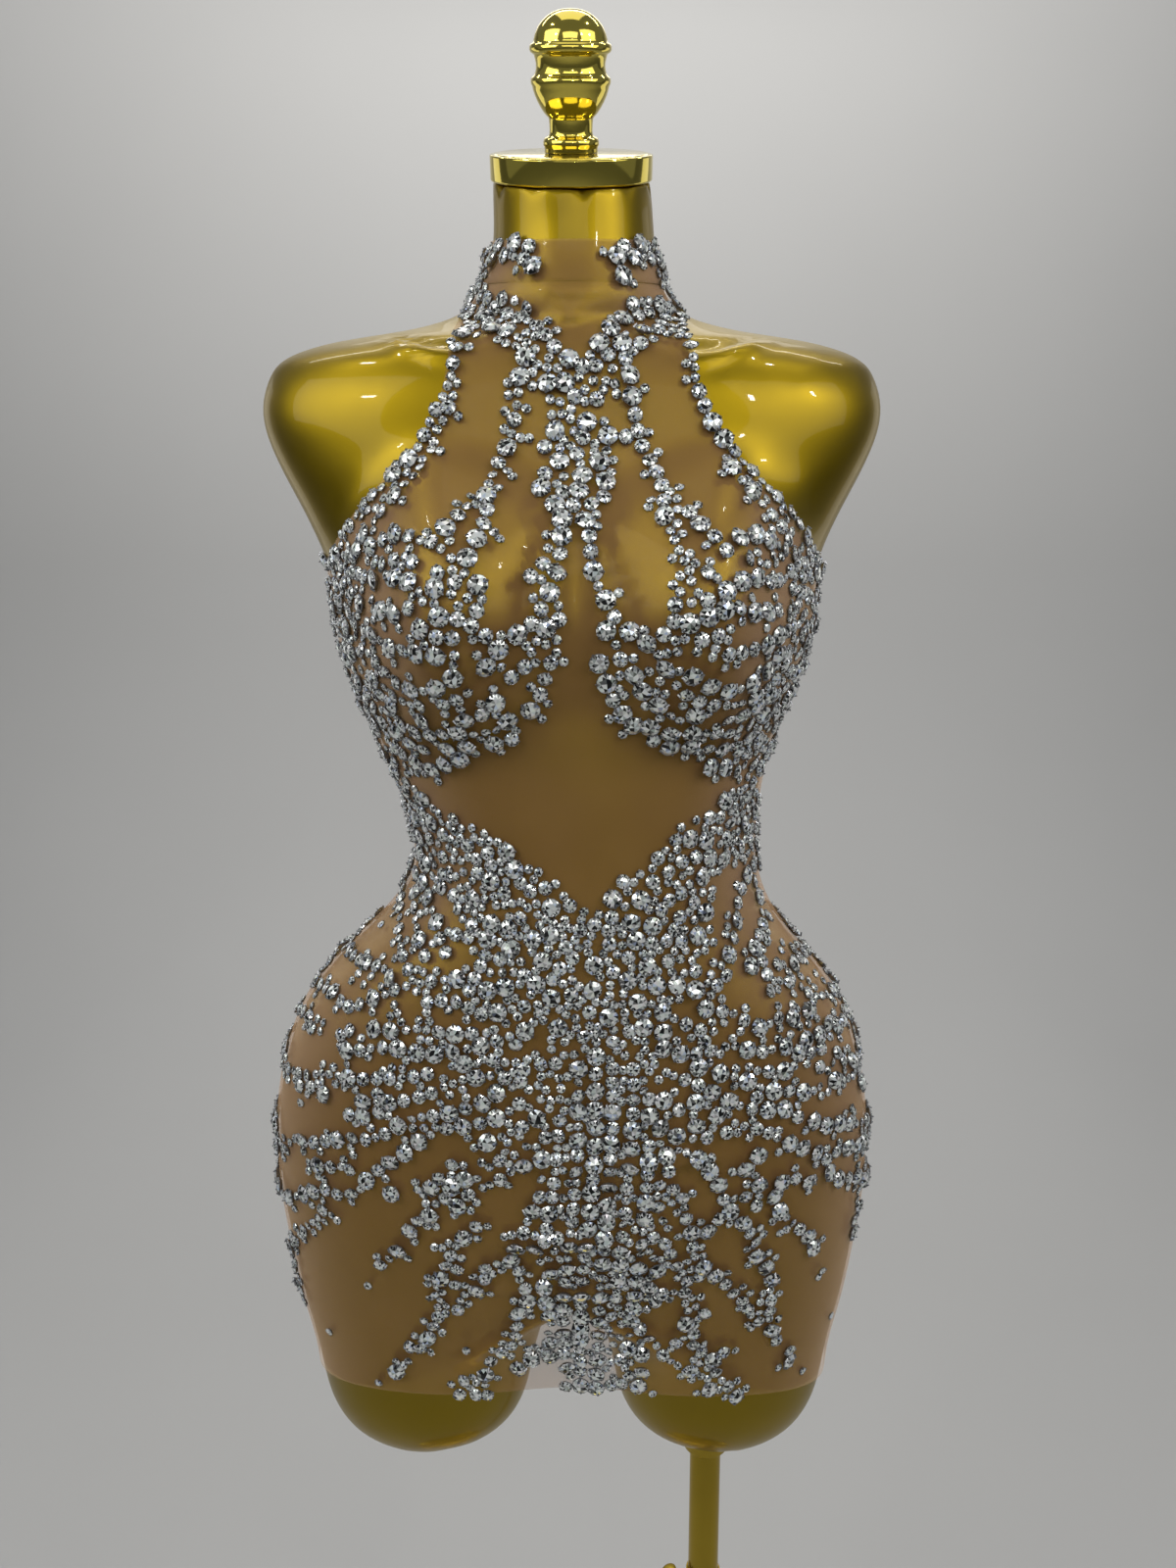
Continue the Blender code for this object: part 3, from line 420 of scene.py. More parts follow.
@dataclass
class Finishes:
    """Every material of the object, made once."""

    lacquer: bpy.types.Material = field(default_factory=lambda: GoldLacquer().material())
    polished: bpy.types.Material = field(
        default_factory=lambda: PolishedMetal(
            "polished_gold", (0.80, 0.655, 0.13), (0.72, 0.58, 0.10), 0.05
        ).material()
    )
    brass: bpy.types.Material = field(
        default_factory=lambda: PolishedMetal(
            "polished_brass", (0.42, 0.30, 0.035), (0.36, 0.25, 0.03), 0.12
        ).material()
    )
    nickel: bpy.types.Material = field(
        default_factory=lambda: PolishedMetal(
            "zip_nickel", (0.62, 0.60, 0.56), (0.5, 0.48, 0.45), 0.16
        ).material()
    )
    cloth: bpy.types.Material = field(default_factory=lambda: StretchMesh().material())
    tape: bpy.types.Material = field(default_factory=lambda: ZipTape().material())
    glass: bpy.types.Material = field(default_factory=lambda: CutGlass().material())
    claws: bpy.types.Material = field(default_factory=lambda: ClawMetal().material())


def new_object(name: str, mesh: bpy.types.Mesh) -> bpy.types.Object:
    """Put a mesh into the scene as an object at the origin.

    Args:
        name: the object's name.
        mesh: its mesh.

    Returns:
        The new object.
    """
    thing = bpy.data.objects.new(name, mesh)
    bpy.context.scene.collection.objects.link(thing)
    return thing


def from_bmesh(name: str, shape: bmesh.types.BMesh) -> bpy.types.Object:
    """Make an object from a bmesh and free the bmesh.

    Args:
        name: the object's name.
        shape: the bmesh.

    Returns:
        The new object.
    """
    mesh = bpy.data.meshes.new(name)
    shape.to_mesh(mesh)
    shape.free()
    return new_object(name, mesh)


def finish_piece(
    piece: bpy.types.Object,
    material: bpy.types.Material,
    body: Body,
    replaces: tuple[str, ...] = (),
    smooth: float | None = 40.0,
) -> None:
    """Dress a piece, shade it, and say what it rides on and stands for.

    Args:
        piece: the finished mesh object.
        material: its material.
        body: the body that it moves with.
        replaces: the CAD nodes that it stands for.
        smooth: degrees past which an edge stays sharp, or None for flat facets.
    """
    piece.data.materials.clear()
    piece.data.materials.append(material)
    if smooth is not None:
        piece.data.shade_smooth()
        piece.data.set_sharp_from_angle(angle=math.radians(smooth))
    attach(piece, body.value)
    if replaces:
        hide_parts(*replaces)
    LOG.info("%s: %d faces, rides on %s", piece.name, len(piece.data.polygons), body.value)


def subdivide(piece: bpy.types.Object, levels: int) -> None:
    """Give a piece a Subdivision Surface that is the same in every view.

    Args:
        piece: the piece.
        levels: how many times each face is divided.
    """
    rounder = piece.modifiers.new("round", "SUBSURF")
    rounder.levels = levels
    rounder.render_levels = levels


def evaluated_mesh(piece: bpy.types.Object) -> bpy.types.Mesh:
    """A new mesh with a piece's modifiers applied.

    Args:
        piece: the piece, which stays as it is.

    Returns:
        The new mesh.
    """
    bpy.context.view_layer.update()
    depsgraph = bpy.context.evaluated_depsgraph_get()
    return bpy.data.meshes.new_from_object(piece.evaluated_get(depsgraph), depsgraph=depsgraph)


@dataclass(frozen=True)
class PhotoCamera:
    """The photograph's viewpoint."""

    place: tuple[float, float, float] = (0.0107, -0.745, 1.357)
    down_degrees: float = 9.9
    focal_pixels: float = 1200.0
    width: int = 1200
    height: int = 1600
    sensor_mm: float = 36.0

    def turn(self) -> Matrix:
        """The camera's rotation."""
        return Matrix.Rotation(math.radians(90.0 - self.down_degrees), 3, "X")

    def eye(self, behind: bool = False) -> Vector:
        """Where the lines of sight start.

        Args:
            behind: look from behind, as in a mirror that stands there.

        Returns:
            The point, in front of the object or as far behind it.
        """
        x, y, z = self.place
        return Vector((x, -y if behind else y, z))

    def ray(self, pixel: Pixel, behind: bool = False) -> Vector:
        """The direction of the line of sight through a pixel of the photograph.

        Args:
            pixel: the pixel.
            behind: look from behind, as in a mirror that stands there.

        Returns:
            The direction, of length 1.
        """
        x = (pixel[0] - self.width / 2) / self.focal_pixels
        y = (self.height / 2 - pixel[1]) / self.focal_pixels
        sight = (self.turn() @ Vector((x, y, -1.0))).normalized()
        return Vector((sight.x, -sight.y if behind else sight.y, sight.z))

    def build(self) -> None:
        """Make the scene's camera."""
        lens = bpy.data.cameras.new("photo_camera")
        lens.sensor_width = self.sensor_mm
        lens.lens = self.sensor_mm * self.focal_pixels / self.height
        lens.clip_start = 20 * MM
        camera = bpy.data.objects.new("photo_camera", lens)
        camera.matrix_world = Matrix.Translation(self.place) @ self.turn().to_4x4()
        bpy.context.scene.collection.objects.link(camera)
        bpy.context.scene.camera = camera


@dataclass
class Lathe:
    """A turned piece: a profile of (radius, height) points in millimetres, spun about its own axis.

    bevel is the width of the rounding in millimetres, on every edge sharper than bevel_above degrees. A
    closed profile is joined from its last point to its first one.
    """

    name: str
    profile: tuple[tuple[float, float], ...]
    frame: Matrix
    segments: int = 72
    bevel: float = 0.3
    bevel_above: float = 25.0
    closed: bool = False

    def build(self) -> bpy.types.Object:
        """Spin the profile, join its seam and round its crisp edges.

        Returns:
            The new object.
        """
        shape = bmesh.new()
        points = [shape.verts.new((r * MM, 0.0, h * MM)) for r, h in self.profile]
        pairs = list(zip(points, points[1:]))
        if self.closed:
            pairs.append((points[-1], points[0]))
        edges = [shape.edges.new(pair) for pair in pairs]
        bmesh.ops.spin(
            shape,
            geom=points + edges,
            cent=(0.0, 0.0, 0.0),
            axis=(0.0, 0.0, 1.0),
            angle=2 * math.pi,
            steps=self.segments,
            use_merge=True,
        )
        bmesh.ops.remove_doubles(shape, verts=shape.verts, dist=0.001 * MM)
        bmesh.ops.recalc_face_normals(shape, faces=shape.faces)
        crisp = [
            e for e in shape.edges
            if len(e.link_faces) == 2 and e.calc_face_angle() > math.radians(self.bevel_above)
        ]
        bmesh.ops.bevel(
            shape,
            geom=crisp,
            offset=self.bevel * MM,
            segments=2,
            profile=0.5,
            affect="EDGES",
            material=-1,
            clamp_overlap=True,
        )
        bmesh.ops.transform(shape, matrix=self.frame, verts=shape.verts)
        return from_bmesh(self.name, shape)


def cad_shape(node: str) -> bmesh.types.BMesh:
    """A copy of a CAD node's mesh with its loose triangles merged and joined into quads.

    Args:
        node: the CAD node's name.

    Returns:
        The bmesh.
    """
    shape = bmesh.new()
    shape.from_mesh(bpy.data.objects[node].data)
    bmesh.ops.remove_doubles(shape, verts=shape.verts, dist=0.002 * MM)
    bmesh.ops.join_triangles(
        shape,
        faces=shape.faces,
        angle_face_threshold=math.radians(50),
        angle_shape_threshold=math.radians(60),
    )
    return shape


def smooth_line(line: tuple[Pixel, ...], step: float = 2.0, fewest: int = 3) -> list[Pixel]:
    """A smooth line through the given points.

    Args:
        line: the points.
        step: about how far apart the new points are, in pixels.
        fewest: the least number of steps between two of the points.

    Returns:
        The new points.
    """
    points = [line[0], *line, line[-1]]
    smooth: list[Pixel] = []
    for a, b, c, d in zip(points, points[1:], points[2:], points[3:]):
        steps = max(fewest, int(math.dist(b, c) / step))
        for k in range(steps):
            t = k / steps
            smooth.append(tuple(
                0.5 * (
                    2 * q + (r - p) * t
                    + (2 * p - 5 * q + 4 * r - s) * t**2
                    + (3 * q - p - 3 * r + s) * t**3
                )
                for p, q, r, s in zip(a, b, c, d)
            ))
    smooth.append(line[-1])
    return smooth


@dataclass(frozen=True)
class Fold:
    """A soft ridge drawn in the photograph's pixels, with a trough above and below it.

    rise and width are in millimetres; above and below are the troughs' shares of the rise. A fold behind
    is drawn from the viewpoint behind the object.
    """

    line: tuple[Pixel, ...]
    rise: float
    width: float
    above: float = 0.15
    below: float = 0.45
    behind: bool = False


FOLD_REACH_WIDTHS = 8
FOLD_TROUGH_WIDTHS = 2.2
FOLD_FEWEST_POINTS = 8
FOLD_END_FADE = 0.7


def raise_folds(mesh: bpy.types.Mesh, folds: tuple[Fold, ...], camera: PhotoCamera) -> None:
    """Move a mesh's vertices along their normals so that every fold stands in it and fades at its ends.

    Args:
        mesh: the mesh.
        folds: the folds; one that misses the mesh does nothing.
        camera: the viewpoint that they are drawn from.
    """
    points = np.array([v.co[:] for v in mesh.vertices])
    normals = np.array([v.normal[:] for v in mesh.vertices])
    surface = BVHTree.FromPolygons(
        [tuple(p) for p in points], [tuple(p.vertices) for p in mesh.polygons]
    )
    moved = np.zeros(len(points))
    for fold in folds:
        eye = camera.eye(fold.behind)
        hits = [surface.ray_cast(eye, camera.ray(p, fold.behind))[0] for p in smooth_line(fold.line)]
        line = np.array([hit[:] for hit in hits if hit is not None])
        if len(line) < FOLD_FEWEST_POINTS:
            continue
        reach = FOLD_REACH_WIDTHS * fold.width * MM
        near = np.flatnonzero(
            np.all(points > line.min(axis=0) - reach, axis=1)
            & np.all(points < line.max(axis=0) + reach, axis=1)
        )
        distance = np.linalg.norm(points[near, None, :] - line[None, :, :], axis=2)
        nearest = distance.argmin(axis=1)
        away = distance.min(axis=1) / (fold.width * MM)
        fade = np.clip(np.sin(math.pi * nearest / (len(line) - 1)), 0.0, 1.0) ** FOLD_END_FADE
        trough = np.where(points[near, 2] < line[nearest, 2], fold.below, fold.above)
        shape = np.exp(-(away**2)) - trough * np.exp(-((away - FOLD_TROUGH_WIDTHS) ** 2))
        moved[near] += fold.rise * MM * fade * shape
    points += normals * moved[:, None]
    mesh.vertices.foreach_set("co", points.ravel())
    mesh.update()


@dataclass
class DressForm:
    """The gold form with its neck cap and finial."""

    finishes: Finishes
    camera: PhotoCamera
    collarbones: tuple[Fold, ...] = (
        Fold(((376, 340), (394, 347), (412, 353), (432, 359), (454, 363), (478, 364)), 2.0, 4.0, 1.2, 0.1),
        Fold(((802, 344), (780, 349), (760, 355), (738, 362), (716, 366), (692, 366)), 2.0, 4.0, 1.2, 0.1),
    )
    neck_top: tuple[float, float, float] = (1.0, -8.0, 1585.5)
    neck_lean: float = 22.0
    cap_radius: float = 47.2
    cap_height: float = 14.5
    seat: float = 0.3

    def neck_frame(self, along: float) -> Matrix:
        """A frame on the neck's leaning axis.

        Args:
            along: how far it is above the neck's flat top, in millimetres.

        Returns:
            The frame.
        """
        place = Matrix.Translation(Vector(self.neck_top) * MM)
        lean = Matrix.Rotation(math.radians(self.neck_lean), 4, "X")
        return place @ lean @ Matrix.Translation((0.0, 0.0, along * MM))

    def build_torso(self) -> None:
        """The lacquered trunk, smooth from neck to thighs."""
        cage = from_bmesh("gold_form_cage", cad_shape("form_torso"))
        subdivide(cage, 2)
        mesh = evaluated_mesh(cage)
        bpy.data.objects.remove(cage)
        raise_folds(mesh, self.collarbones, self.camera)
        torso = new_object("gold_form", mesh)
        finish_piece(torso, self.finishes.lacquer, Body.FORM, ("form_torso",), smooth=60.0)

    def build_cap(self) -> None:
        """The polished disc on the neck, with a shallow step round its top."""
        r, h = self.cap_radius, self.cap_height
        profile = (
            (0.0, h),
            (r - 3.2, h),
            (r - 2.6, h - 0.5),
            (r - 0.6, h - 0.5),
            (r, h - 1.2),
            (r, 1.2),
            (r - 0.6, 0.4),
            (r - 1.2, 0.0),
            (0.0, 0.0),
        )
        cap = Lathe("neck_cap_disc", profile, self.neck_frame(self.seat), 128, 0.18).build()
        finish_piece(cap, self.finishes.polished, Body.FORM, ("neck_cap",))

    def build_finial(self) -> None:
        """The turned knob: a domed top, two raised rings with a waist between them, a bowl and a foot."""
        profile = (
            (0.0, 69.6), (3.4, 69.4), (6.8, 68.8), (10.2, 67.6), (13.2, 65.9), (15.8, 63.7),
            (18.0, 61.0), (19.6, 57.9), (20.5, 55.0), (20.7, 53.7), (21.6, 53.3), (22.5, 52.6),
            (22.9, 51.4), (22.9, 50.2), (22.4, 49.1), (21.4, 48.4), (20.6, 47.9), (20.0, 46.2),
            (19.5, 44.0), (19.4, 42.0), (19.8, 40.0), (20.5, 38.2), (21.6, 37.4), (22.4, 36.5),
            (22.6, 35.2), (22.4, 33.9), (21.8, 32.9), (21.3, 31.0), (20.4, 28.4), (19.0, 25.4),
            (17.2, 22.4), (15.4, 19.9), (14.0, 18.4), (13.0, 17.6), (12.6, 16.6), (12.4, 14.0),
            (12.3, 11.6), (12.4, 9.6), (12.8, 8.6), (13.6, 8.0), (14.8, 7.5), (15.7, 6.6),
            (16.1, 5.2), (16.0, 3.8), (15.4, 2.9), (15.2, 1.8), (15.4, 0.0), (0.0, 0.0),
        )
        frame = self.neck_frame(self.cap_height + 2 * self.seat)
        knob = Lathe("finial_knob", profile, frame, 96, 0.12, 70.0).build()
        finish_piece(knob, self.finishes.polished, Body.FORM, ("finial",), smooth=75.0)

    def build(self) -> None:
        """Build the whole form."""
        self.build_torso()
        self.build_cap()
        self.build_finial()


@dataclass
class PoleStand:
    """The brass stand: a round base, a fixed tube with a clamp screw, and a sliding pole."""

    finishes: Finishes
    pole: tuple[float, float] = (96.0, 15.0)
    pole_radius: float = 11.0
    pole_low: float = 300.0
    pole_high: float = 764.4
    tube_radius: float = 12.5
    bore: float = 11.4
    tube_low: float = 8.3
    tube_high: float = 634.0
    base_radius: float = 190.0
    base_height: float = 8.0
    socket_top: float = 769.7
    screw_level: float = 623.0
    boss_reach: float = 17.5
    thread_pitch: float = 0.75
    wing: tuple[float, float, float] = (5.4, 8.4, 1.5)
    wing_out: float = 7.6
    wing_up: float = 7.2
    wing_lean: float = 28.0

    def frame(self, height: float) -> Matrix:
        """A frame on the pole's axis at this height in millimetres."""
        return Matrix.Translation(Vector((*self.pole, height)) * MM)

    def sideways(self) -> Matrix:
        """A frame on the clamp screw's axis, with its Z pointing out of the tube."""
        return self.frame(self.screw_level) @ Matrix.Rotation(-math.pi / 2, 4, "Y")

    def build_turned(self) -> None:
        """The turned pieces: base, sockets, tube and pole."""
        brass = self.finishes.brass
        r, h = self.base_radius, self.base_height
        base = (
            (0.0, h), (r - 6.0, h), (r - 2.4, h - 0.8), (r - 0.6, h - 2.6), (r, h - 4.6), (r, 0.0),
            (0.0, 0.0),
        )
        plate = Lathe("base_disc", base, Matrix.Identity(4), 160, 0.4, 30.0).build()
        finish_piece(plate, brass, Body.STAND, ("base_plate",))
        t = self.tube_radius
        foot = (
            (t + 0.3, 45.0), (16.0, 45.0), (17.0, 44.0), (17.0, 9.0), (17.6, 7.0), (19.2, 5.6),
            (21.4, 5.0), (32.6, 5.0), (34.0, 3.6), (34.0, 0.0), (t + 0.3, 0.0),
        )
        socket = Lathe("base_socket_ring", foot, self.frame(self.base_height + 0.3), 72, 0.25, closed=True)
        finish_piece(socket.build(), brass, Body.STAND, ("base_socket",))
        rim = self.tube_high
        tube = (
            (self.bore, rim), (t - 0.3, rim), (t, rim - 0.4), (t, rim - 16.0), (t - 0.25, rim - 16.3),
            (t - 0.25, rim - 17.0), (t, rim - 17.3), (t, self.tube_low), (self.bore, self.tube_low),
        )
        sleeve = Lathe("tube_sleeve", tube, self.frame(0.0), 72, 0.12, closed=True).build()
        finish_piece(sleeve, brass, Body.STAND, ("outer_tube",))
        p, low, high = self.pole_radius, self.pole_low, self.pole_high
        rod = ((0.0, high), (p - 0.8, high), (p, high - 0.8), (p, low + 0.8), (p - 0.8, low), (0.0, low))
        mast = Lathe("sliding_pole", rod, self.frame(0.0), 72, 0.2).build()
        finish_piece(mast, brass, Body.MAST, ("inner_pole",))
        cup = (
            (0.0, 0.0), (25.2, 0.0), (26.0, -0.8), (26.0, -3.2), (25.0, -4.0), (19.6, -4.2), (17.6, -5.0),
            (16.4, -6.8), (16.0, -9.0), (16.0, -31.2), (15.2, -32.0), (self.bore, -32.0), (self.bore, -5.0),
            (0.0, -5.0),
        )
        under = Lathe("thigh_socket", cup, self.frame(self.socket_top), 72, 0.2).build()
        finish_piece(under, brass, Body.FORM, ("pole_socket",))

    def build_boss(self) -> None:
        """The threaded boss that the clamp screw goes through."""
        reach = self.boss_reach
        profile = (
            (3.4, reach), (5.2, reach), (6.0, reach - 0.8), (6.0, 12.0), (3.4, 12.0), (3.4, reach - 1.0),
        )
        boss = Lathe("clamp_boss", profile, self.sideways(), 40, 0.15, closed=True).build()
        finish_piece(boss, self.finishes.brass, Body.STAND)

    def build_screw(self) -> None:
        """The clamp screw: a threaded shank, a hub and two dished wings."""
        head, pitch = self.boss_reach + 0.3, self.thread_pitch
        thread = [(0.0, self.pole_radius + 0.3)]
        turns = int((head - self.pole_radius - 0.9) / pitch)
        for k in range(turns):
            start = self.pole_radius + 0.6 + k * pitch
            thread += [(2.65, start), (3.0, start + pitch / 2)]
        thread += [(3.0, head + 0.6), (4.4, head + 0.6), (5.0, head + 1.2), (5.0, head + 4.8)]
        thread += [(4.2, head + 5.8), (2.4, head + 6.3), (0.0, head + 6.4)]
        profile = tuple(reversed(thread))
        screw = Lathe("clamp_screw_body", profile, self.sideways(), 40, 0.1, 80.0).build()
        finish_piece(screw, self.finishes.brass, Body.SCREW, ("clamp_screw",))
        self.build_wings(head)

    def build_wings(self, head: float) -> None:
        """The clamp screw's two wings, thin in the middle and thick at the rim.

        Args:
            head: how far the hub's foot is from the pole's axis, in millimetres.
        """
        wings = bmesh.new()
        for side in (-1.0, 1.0):
            wing = bmesh.ops.create_uvsphere(wings, u_segments=28, v_segments=16, radius=1.0)["verts"]
            bmesh.ops.scale(wings, vec=Vector(self.wing) * MM, verts=wing)
            for vert in wing:
                across = vert.co.length_squared / (max(self.wing) * MM) ** 2
                vert.co.z *= 0.75 + 0.45 * across
            lean = Matrix.Rotation(math.radians(side * self.wing_lean), 4, "X")
            upright = Matrix.Rotation(math.pi / 2, 4, "Y") @ Matrix.Rotation(math.pi, 4, "Z")
            place = Matrix.Translation(Vector((0.0, -side * self.wing_out, head + self.wing_up)) * MM)
            bmesh.ops.transform(wings, matrix=self.sideways() @ place @ lean @ upright, verts=wing)
        piece = from_bmesh("clamp_screw_wings", wings)
        finish_piece(piece, self.finishes.brass, Body.SCREW)

    def build(self) -> None:
        """Build the whole stand."""
        self.build_turned()
        self.build_boss()
        self.build_screw()


@dataclass
class MeshDress:
    """The dress: a front, two back panels and a stand collar, each a thin shell of mesh."""

    finishes: Finishes
    camera: PhotoCamera
    thickness: float = 0.35 * MM
    tuck_in: float = 0.9 * MM
    rim_angle: float = 55.0
    # where the painted sheen on the mesh begins and where it is full, by how far the normal turns sideways
    painted_sheen_from: float = 0.3
    painted_sheen_to: float = 0.95
    creases: tuple[Fold, ...] = (
        Fold(((520, 1186), (580, 1190), (640, 1188), (700, 1184), (760, 1180)), 3.6, 3.2),
        Fold(((545, 1200), (600, 1202), (650, 1204), (700, 1208)), 2.2, 2.4),
        Fold(((496, 1268), (540, 1266), (590, 1265), (662, 1274)), 3.2, 2.8),
        Fold(((540, 1354), (600, 1354), (640, 1358), (690, 1362)), 3.0, 2.8),
        Fold(((560, 1300), (600, 1300), (640, 1296)), 0.9, 2.0),
        Fold(((540, 1348), (600, 1344), (668, 1342)), 1.0, 2.2),
        Fold(((528, 290), (560, 297), (600, 299), (645, 291)), 0.9, 1.8),
        Fold(((536, 312), (560, 320), (590, 323), (612, 318)), 0.7, 1.6),
        Fold(((655, 352), (680, 360), (700, 372)), 0.5, 2.0),
        Fold(((470, 356), (495, 352), (520, 352)), 0.5, 1.8),
        Fold(((500, 1172), (560, 1180), (620, 1178), (690, 1186)), 1.8, 2.8, behind=True),
        Fold(((540, 1262), (600, 1268), (668, 1264)), 1.5, 2.6, behind=True),
        Fold(((560, 1330), (610, 1336), (676, 1328)), 1.2, 2.4, behind=True),
        Fold(((604, 915), (640, 925), (690, 922), (726, 910)), 1.1, 3.0, behind=True),
        Fold(((470, 880), (520, 892), (560, 890), (596, 880)), 0.9, 3.0, behind=True),
    )

    def outer_side(self, node: str) -> bmesh.types.BMesh:
        """The outer side alone of a CAD panel, whose walls have an inner side, an outer side and rims.

        Args:
            node: the CAD panel's name.

        Returns:
            The open surface as a bmesh.
        """
        shape = cad_shape(node)
        shape.faces.index_update()
        sharp = math.radians(self.rim_angle)
        seen: set[int] = set()
        islands: list[list[bmesh.types.BMFace]] = []
        for first in shape.faces:
            if first.index in seen:
                continue
            island, waiting = [], [first]
            seen.add(first.index)
            while waiting:
                face = waiting.pop()
                island.append(face)
                for edge in face.edges:
                    if len(edge.link_faces) != 2 or edge.calc_face_angle() > sharp:
                        continue
                    for other in edge.link_faces:
                        if other.index not in seen:
                            seen.add(other.index)
                            waiting.append(other)
            islands.append(island)
        keep = set(max(islands, key=self.outwards))
        rest = [face for face in shape.faces if face not in keep]
        bmesh.ops.delete(shape, geom=rest, context="FACES")
        shape.normal_update()
        for vert in shape.verts:
            vert.co -= vert.normal * self.tuck_in
        return shape

    @staticmethod
    def outwards(island: list[bmesh.types.BMFace]) -> float:
        """How much of some faces' area looks away from the body's upright axis.

        Args:
            island: the faces.

        Returns:
            The area in square metres, less what looks inwards.
        """
        total = 0.0
        for face in island:
            away = face.calc_center_median()
            away.z = 0.0
            total += face.calc_area() * face.normal.dot(away.normalized())
        return total

    def note_painted_sheen(self, mesh: bpy.types.Mesh) -> None:
        """Keep in a mesh how much painted sheen the cloth gets: 0 in the middle of the body, 1 at its sides.

        Args:
            mesh: the panel's mesh.
        """
        normals = np.empty(len(mesh.vertices) * 3)
        mesh.vertices.foreach_get("normal", normals)
        sideways = np.abs(normals[0::3])
        painted_sheen = np.clip((sideways - self.painted_sheen_from) / (self.painted_sheen_to - self.painted_sheen_from), 0.0, 1.0)
        layer = mesh.attributes.new(StretchMesh.attribute, "FLOAT", "POINT")
        layer.data.foreach_set("value", painted_sheen * painted_sheen * (3.0 - 2.0 * painted_sheen))

    def build_panel(
        self, node: str, name: str, levels: int = 2
    ) -> bpy.types.Object:
        """One panel as a thin shell.

        Args:
            node: the CAD panel that it stands for.
            name: the new piece's name.
            levels: how many times each CAD face is divided.

        Returns:
            The panel.
        """
        cage = from_bmesh(f"{name}_cage", self.outer_side(node))
        subdivide(cage, levels)
        mesh = evaluated_mesh(cage)
        bpy.data.objects.remove(cage)
        raise_folds(mesh, self.creases, self.camera)
        # painted sheen towards the body's sides, kept as an attribute of the mesh
        self.note_painted_sheen(mesh)
        panel = new_object(name, mesh)
        shell = panel.modifiers.new("shell", "SOLIDIFY")
        shell.thickness = self.thickness
        shell.offset = -1.0
        finish_piece(panel, self.finishes.cloth, Body.FORM, (node,), smooth=70.0)
        return panel

    def build(self) -> BVHTree:
        """Build every panel.

        Returns:
            A search tree of the panels' outer faces, which the stones are laid on.
        """
        panels = (
            self.build_panel("front", "front_panel"),
            self.build_panel("back_left", "back_panel_left"),
            self.build_panel("back_right", "back_panel_right"),
            self.build_panel("collar_band", "collar_mesh", levels=3),
        )
        points: list[Vector] = []
        polygons: list[tuple[int, ...]] = []
        for panel in panels:
            start = len(points)
            points += [v.co.copy() for v in panel.data.vertices]
            polygons += [tuple(start + i for i in p.vertices) for p in panel.data.polygons]
        return BVHTree.FromPolygons(points, polygons)


@dataclass
class BackZip:
    """The closed centre-back zip: tape, two rows of teeth, slider and pull tab."""

    finishes: Finishes
    pitch: float = 2.1 * MM
    tooth: tuple[float, float, float] = (1.9, 1.1, 1.0)
    tooth_aside: float = 0.75 * MM
    tooth_lift: float = 0.35 * MM
    top_stop: float = 2.0 * MM
    bottom_stop: float = 1.5 * MM
    look_from: float = 0.2
    lean: float = 2.0 * MM

    def dress_nodes(self) -> None:
        """The tape, the slider and the pull tab keep their CAD forms and get their finishes."""
        dressed = {
            "zip_tape": self.finishes.tape,
            "zip_slider": self.finishes.nickel,
            "zip_pull": self.finishes.nickel,
        }
        for node, material in dressed.items():
            piece = bpy.data.objects[node]
            piece.data.materials.clear()
            piece.data.materials.append(material)

    def centre_line(self) -> list[Spot]:
        """Points down the tape's outer side, with their outward directions.

        The tape leans a little, so a line that misses it is tried again on either side.

        Returns:
            One spot for each tooth, from the top down.
        """
        shape = cad_shape("zip_tape")
        shape.verts.index_update()
        points = [v.co.copy() for v in shape.verts]
        polygons = [tuple(v.index for v in f.verts) for f in shape.faces]
        shape.free()
        tree = BVHTree.FromPolygons(points, polygons)
        low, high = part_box("zip_tape")
        forwards = Vector((0.0, -1.0, 0.0))
        x, y, z = (low.x + high.x) / 2, high.y + self.look_from, high.z - self.top_stop
        spots: list[Spot] = []
        while z > low.z + self.bottom_stop:
            for aside in (0.0, self.lean, -self.lean):
                hit, normal, _, _ = tree.ray_cast(Vector((x + aside, y, z)), forwards)
                if hit is not None:
                    spots.append((hit, normal))
                    break
            z -= self.pitch / 2
        return spots

    def build_teeth(self) -> None:
        """Small rounded teeth from the two sides in turn."""
        teeth = bmesh.new()
        for k, (point, normal) in enumerate(self.centre_line()):
            side = 1.0 if k % 2 else -1.0
            block = bmesh.ops.create_cube(teeth, size=1.0)["verts"]
            bmesh.ops.scale(teeth, vec=Vector(self.tooth) * MM, verts=block)
            turn = normal.to_track_quat("Z", "Y").to_matrix().to_4x4()
            place = Matrix.Translation(point + normal * self.tooth_lift) @ turn
            aside = Matrix.Translation((side * self.tooth_aside, 0.0, 0.0))
            bmesh.ops.transform(teeth, matrix=place @ aside, verts=block)
        piece = from_bmesh("zip_teeth", teeth)
        finish_piece(piece, self.finishes.nickel, Body.FORM, smooth=30.0)

    def build(self) -> None:
        """Build the whole zip."""
        self.dress_nodes()
        self.build_teeth()


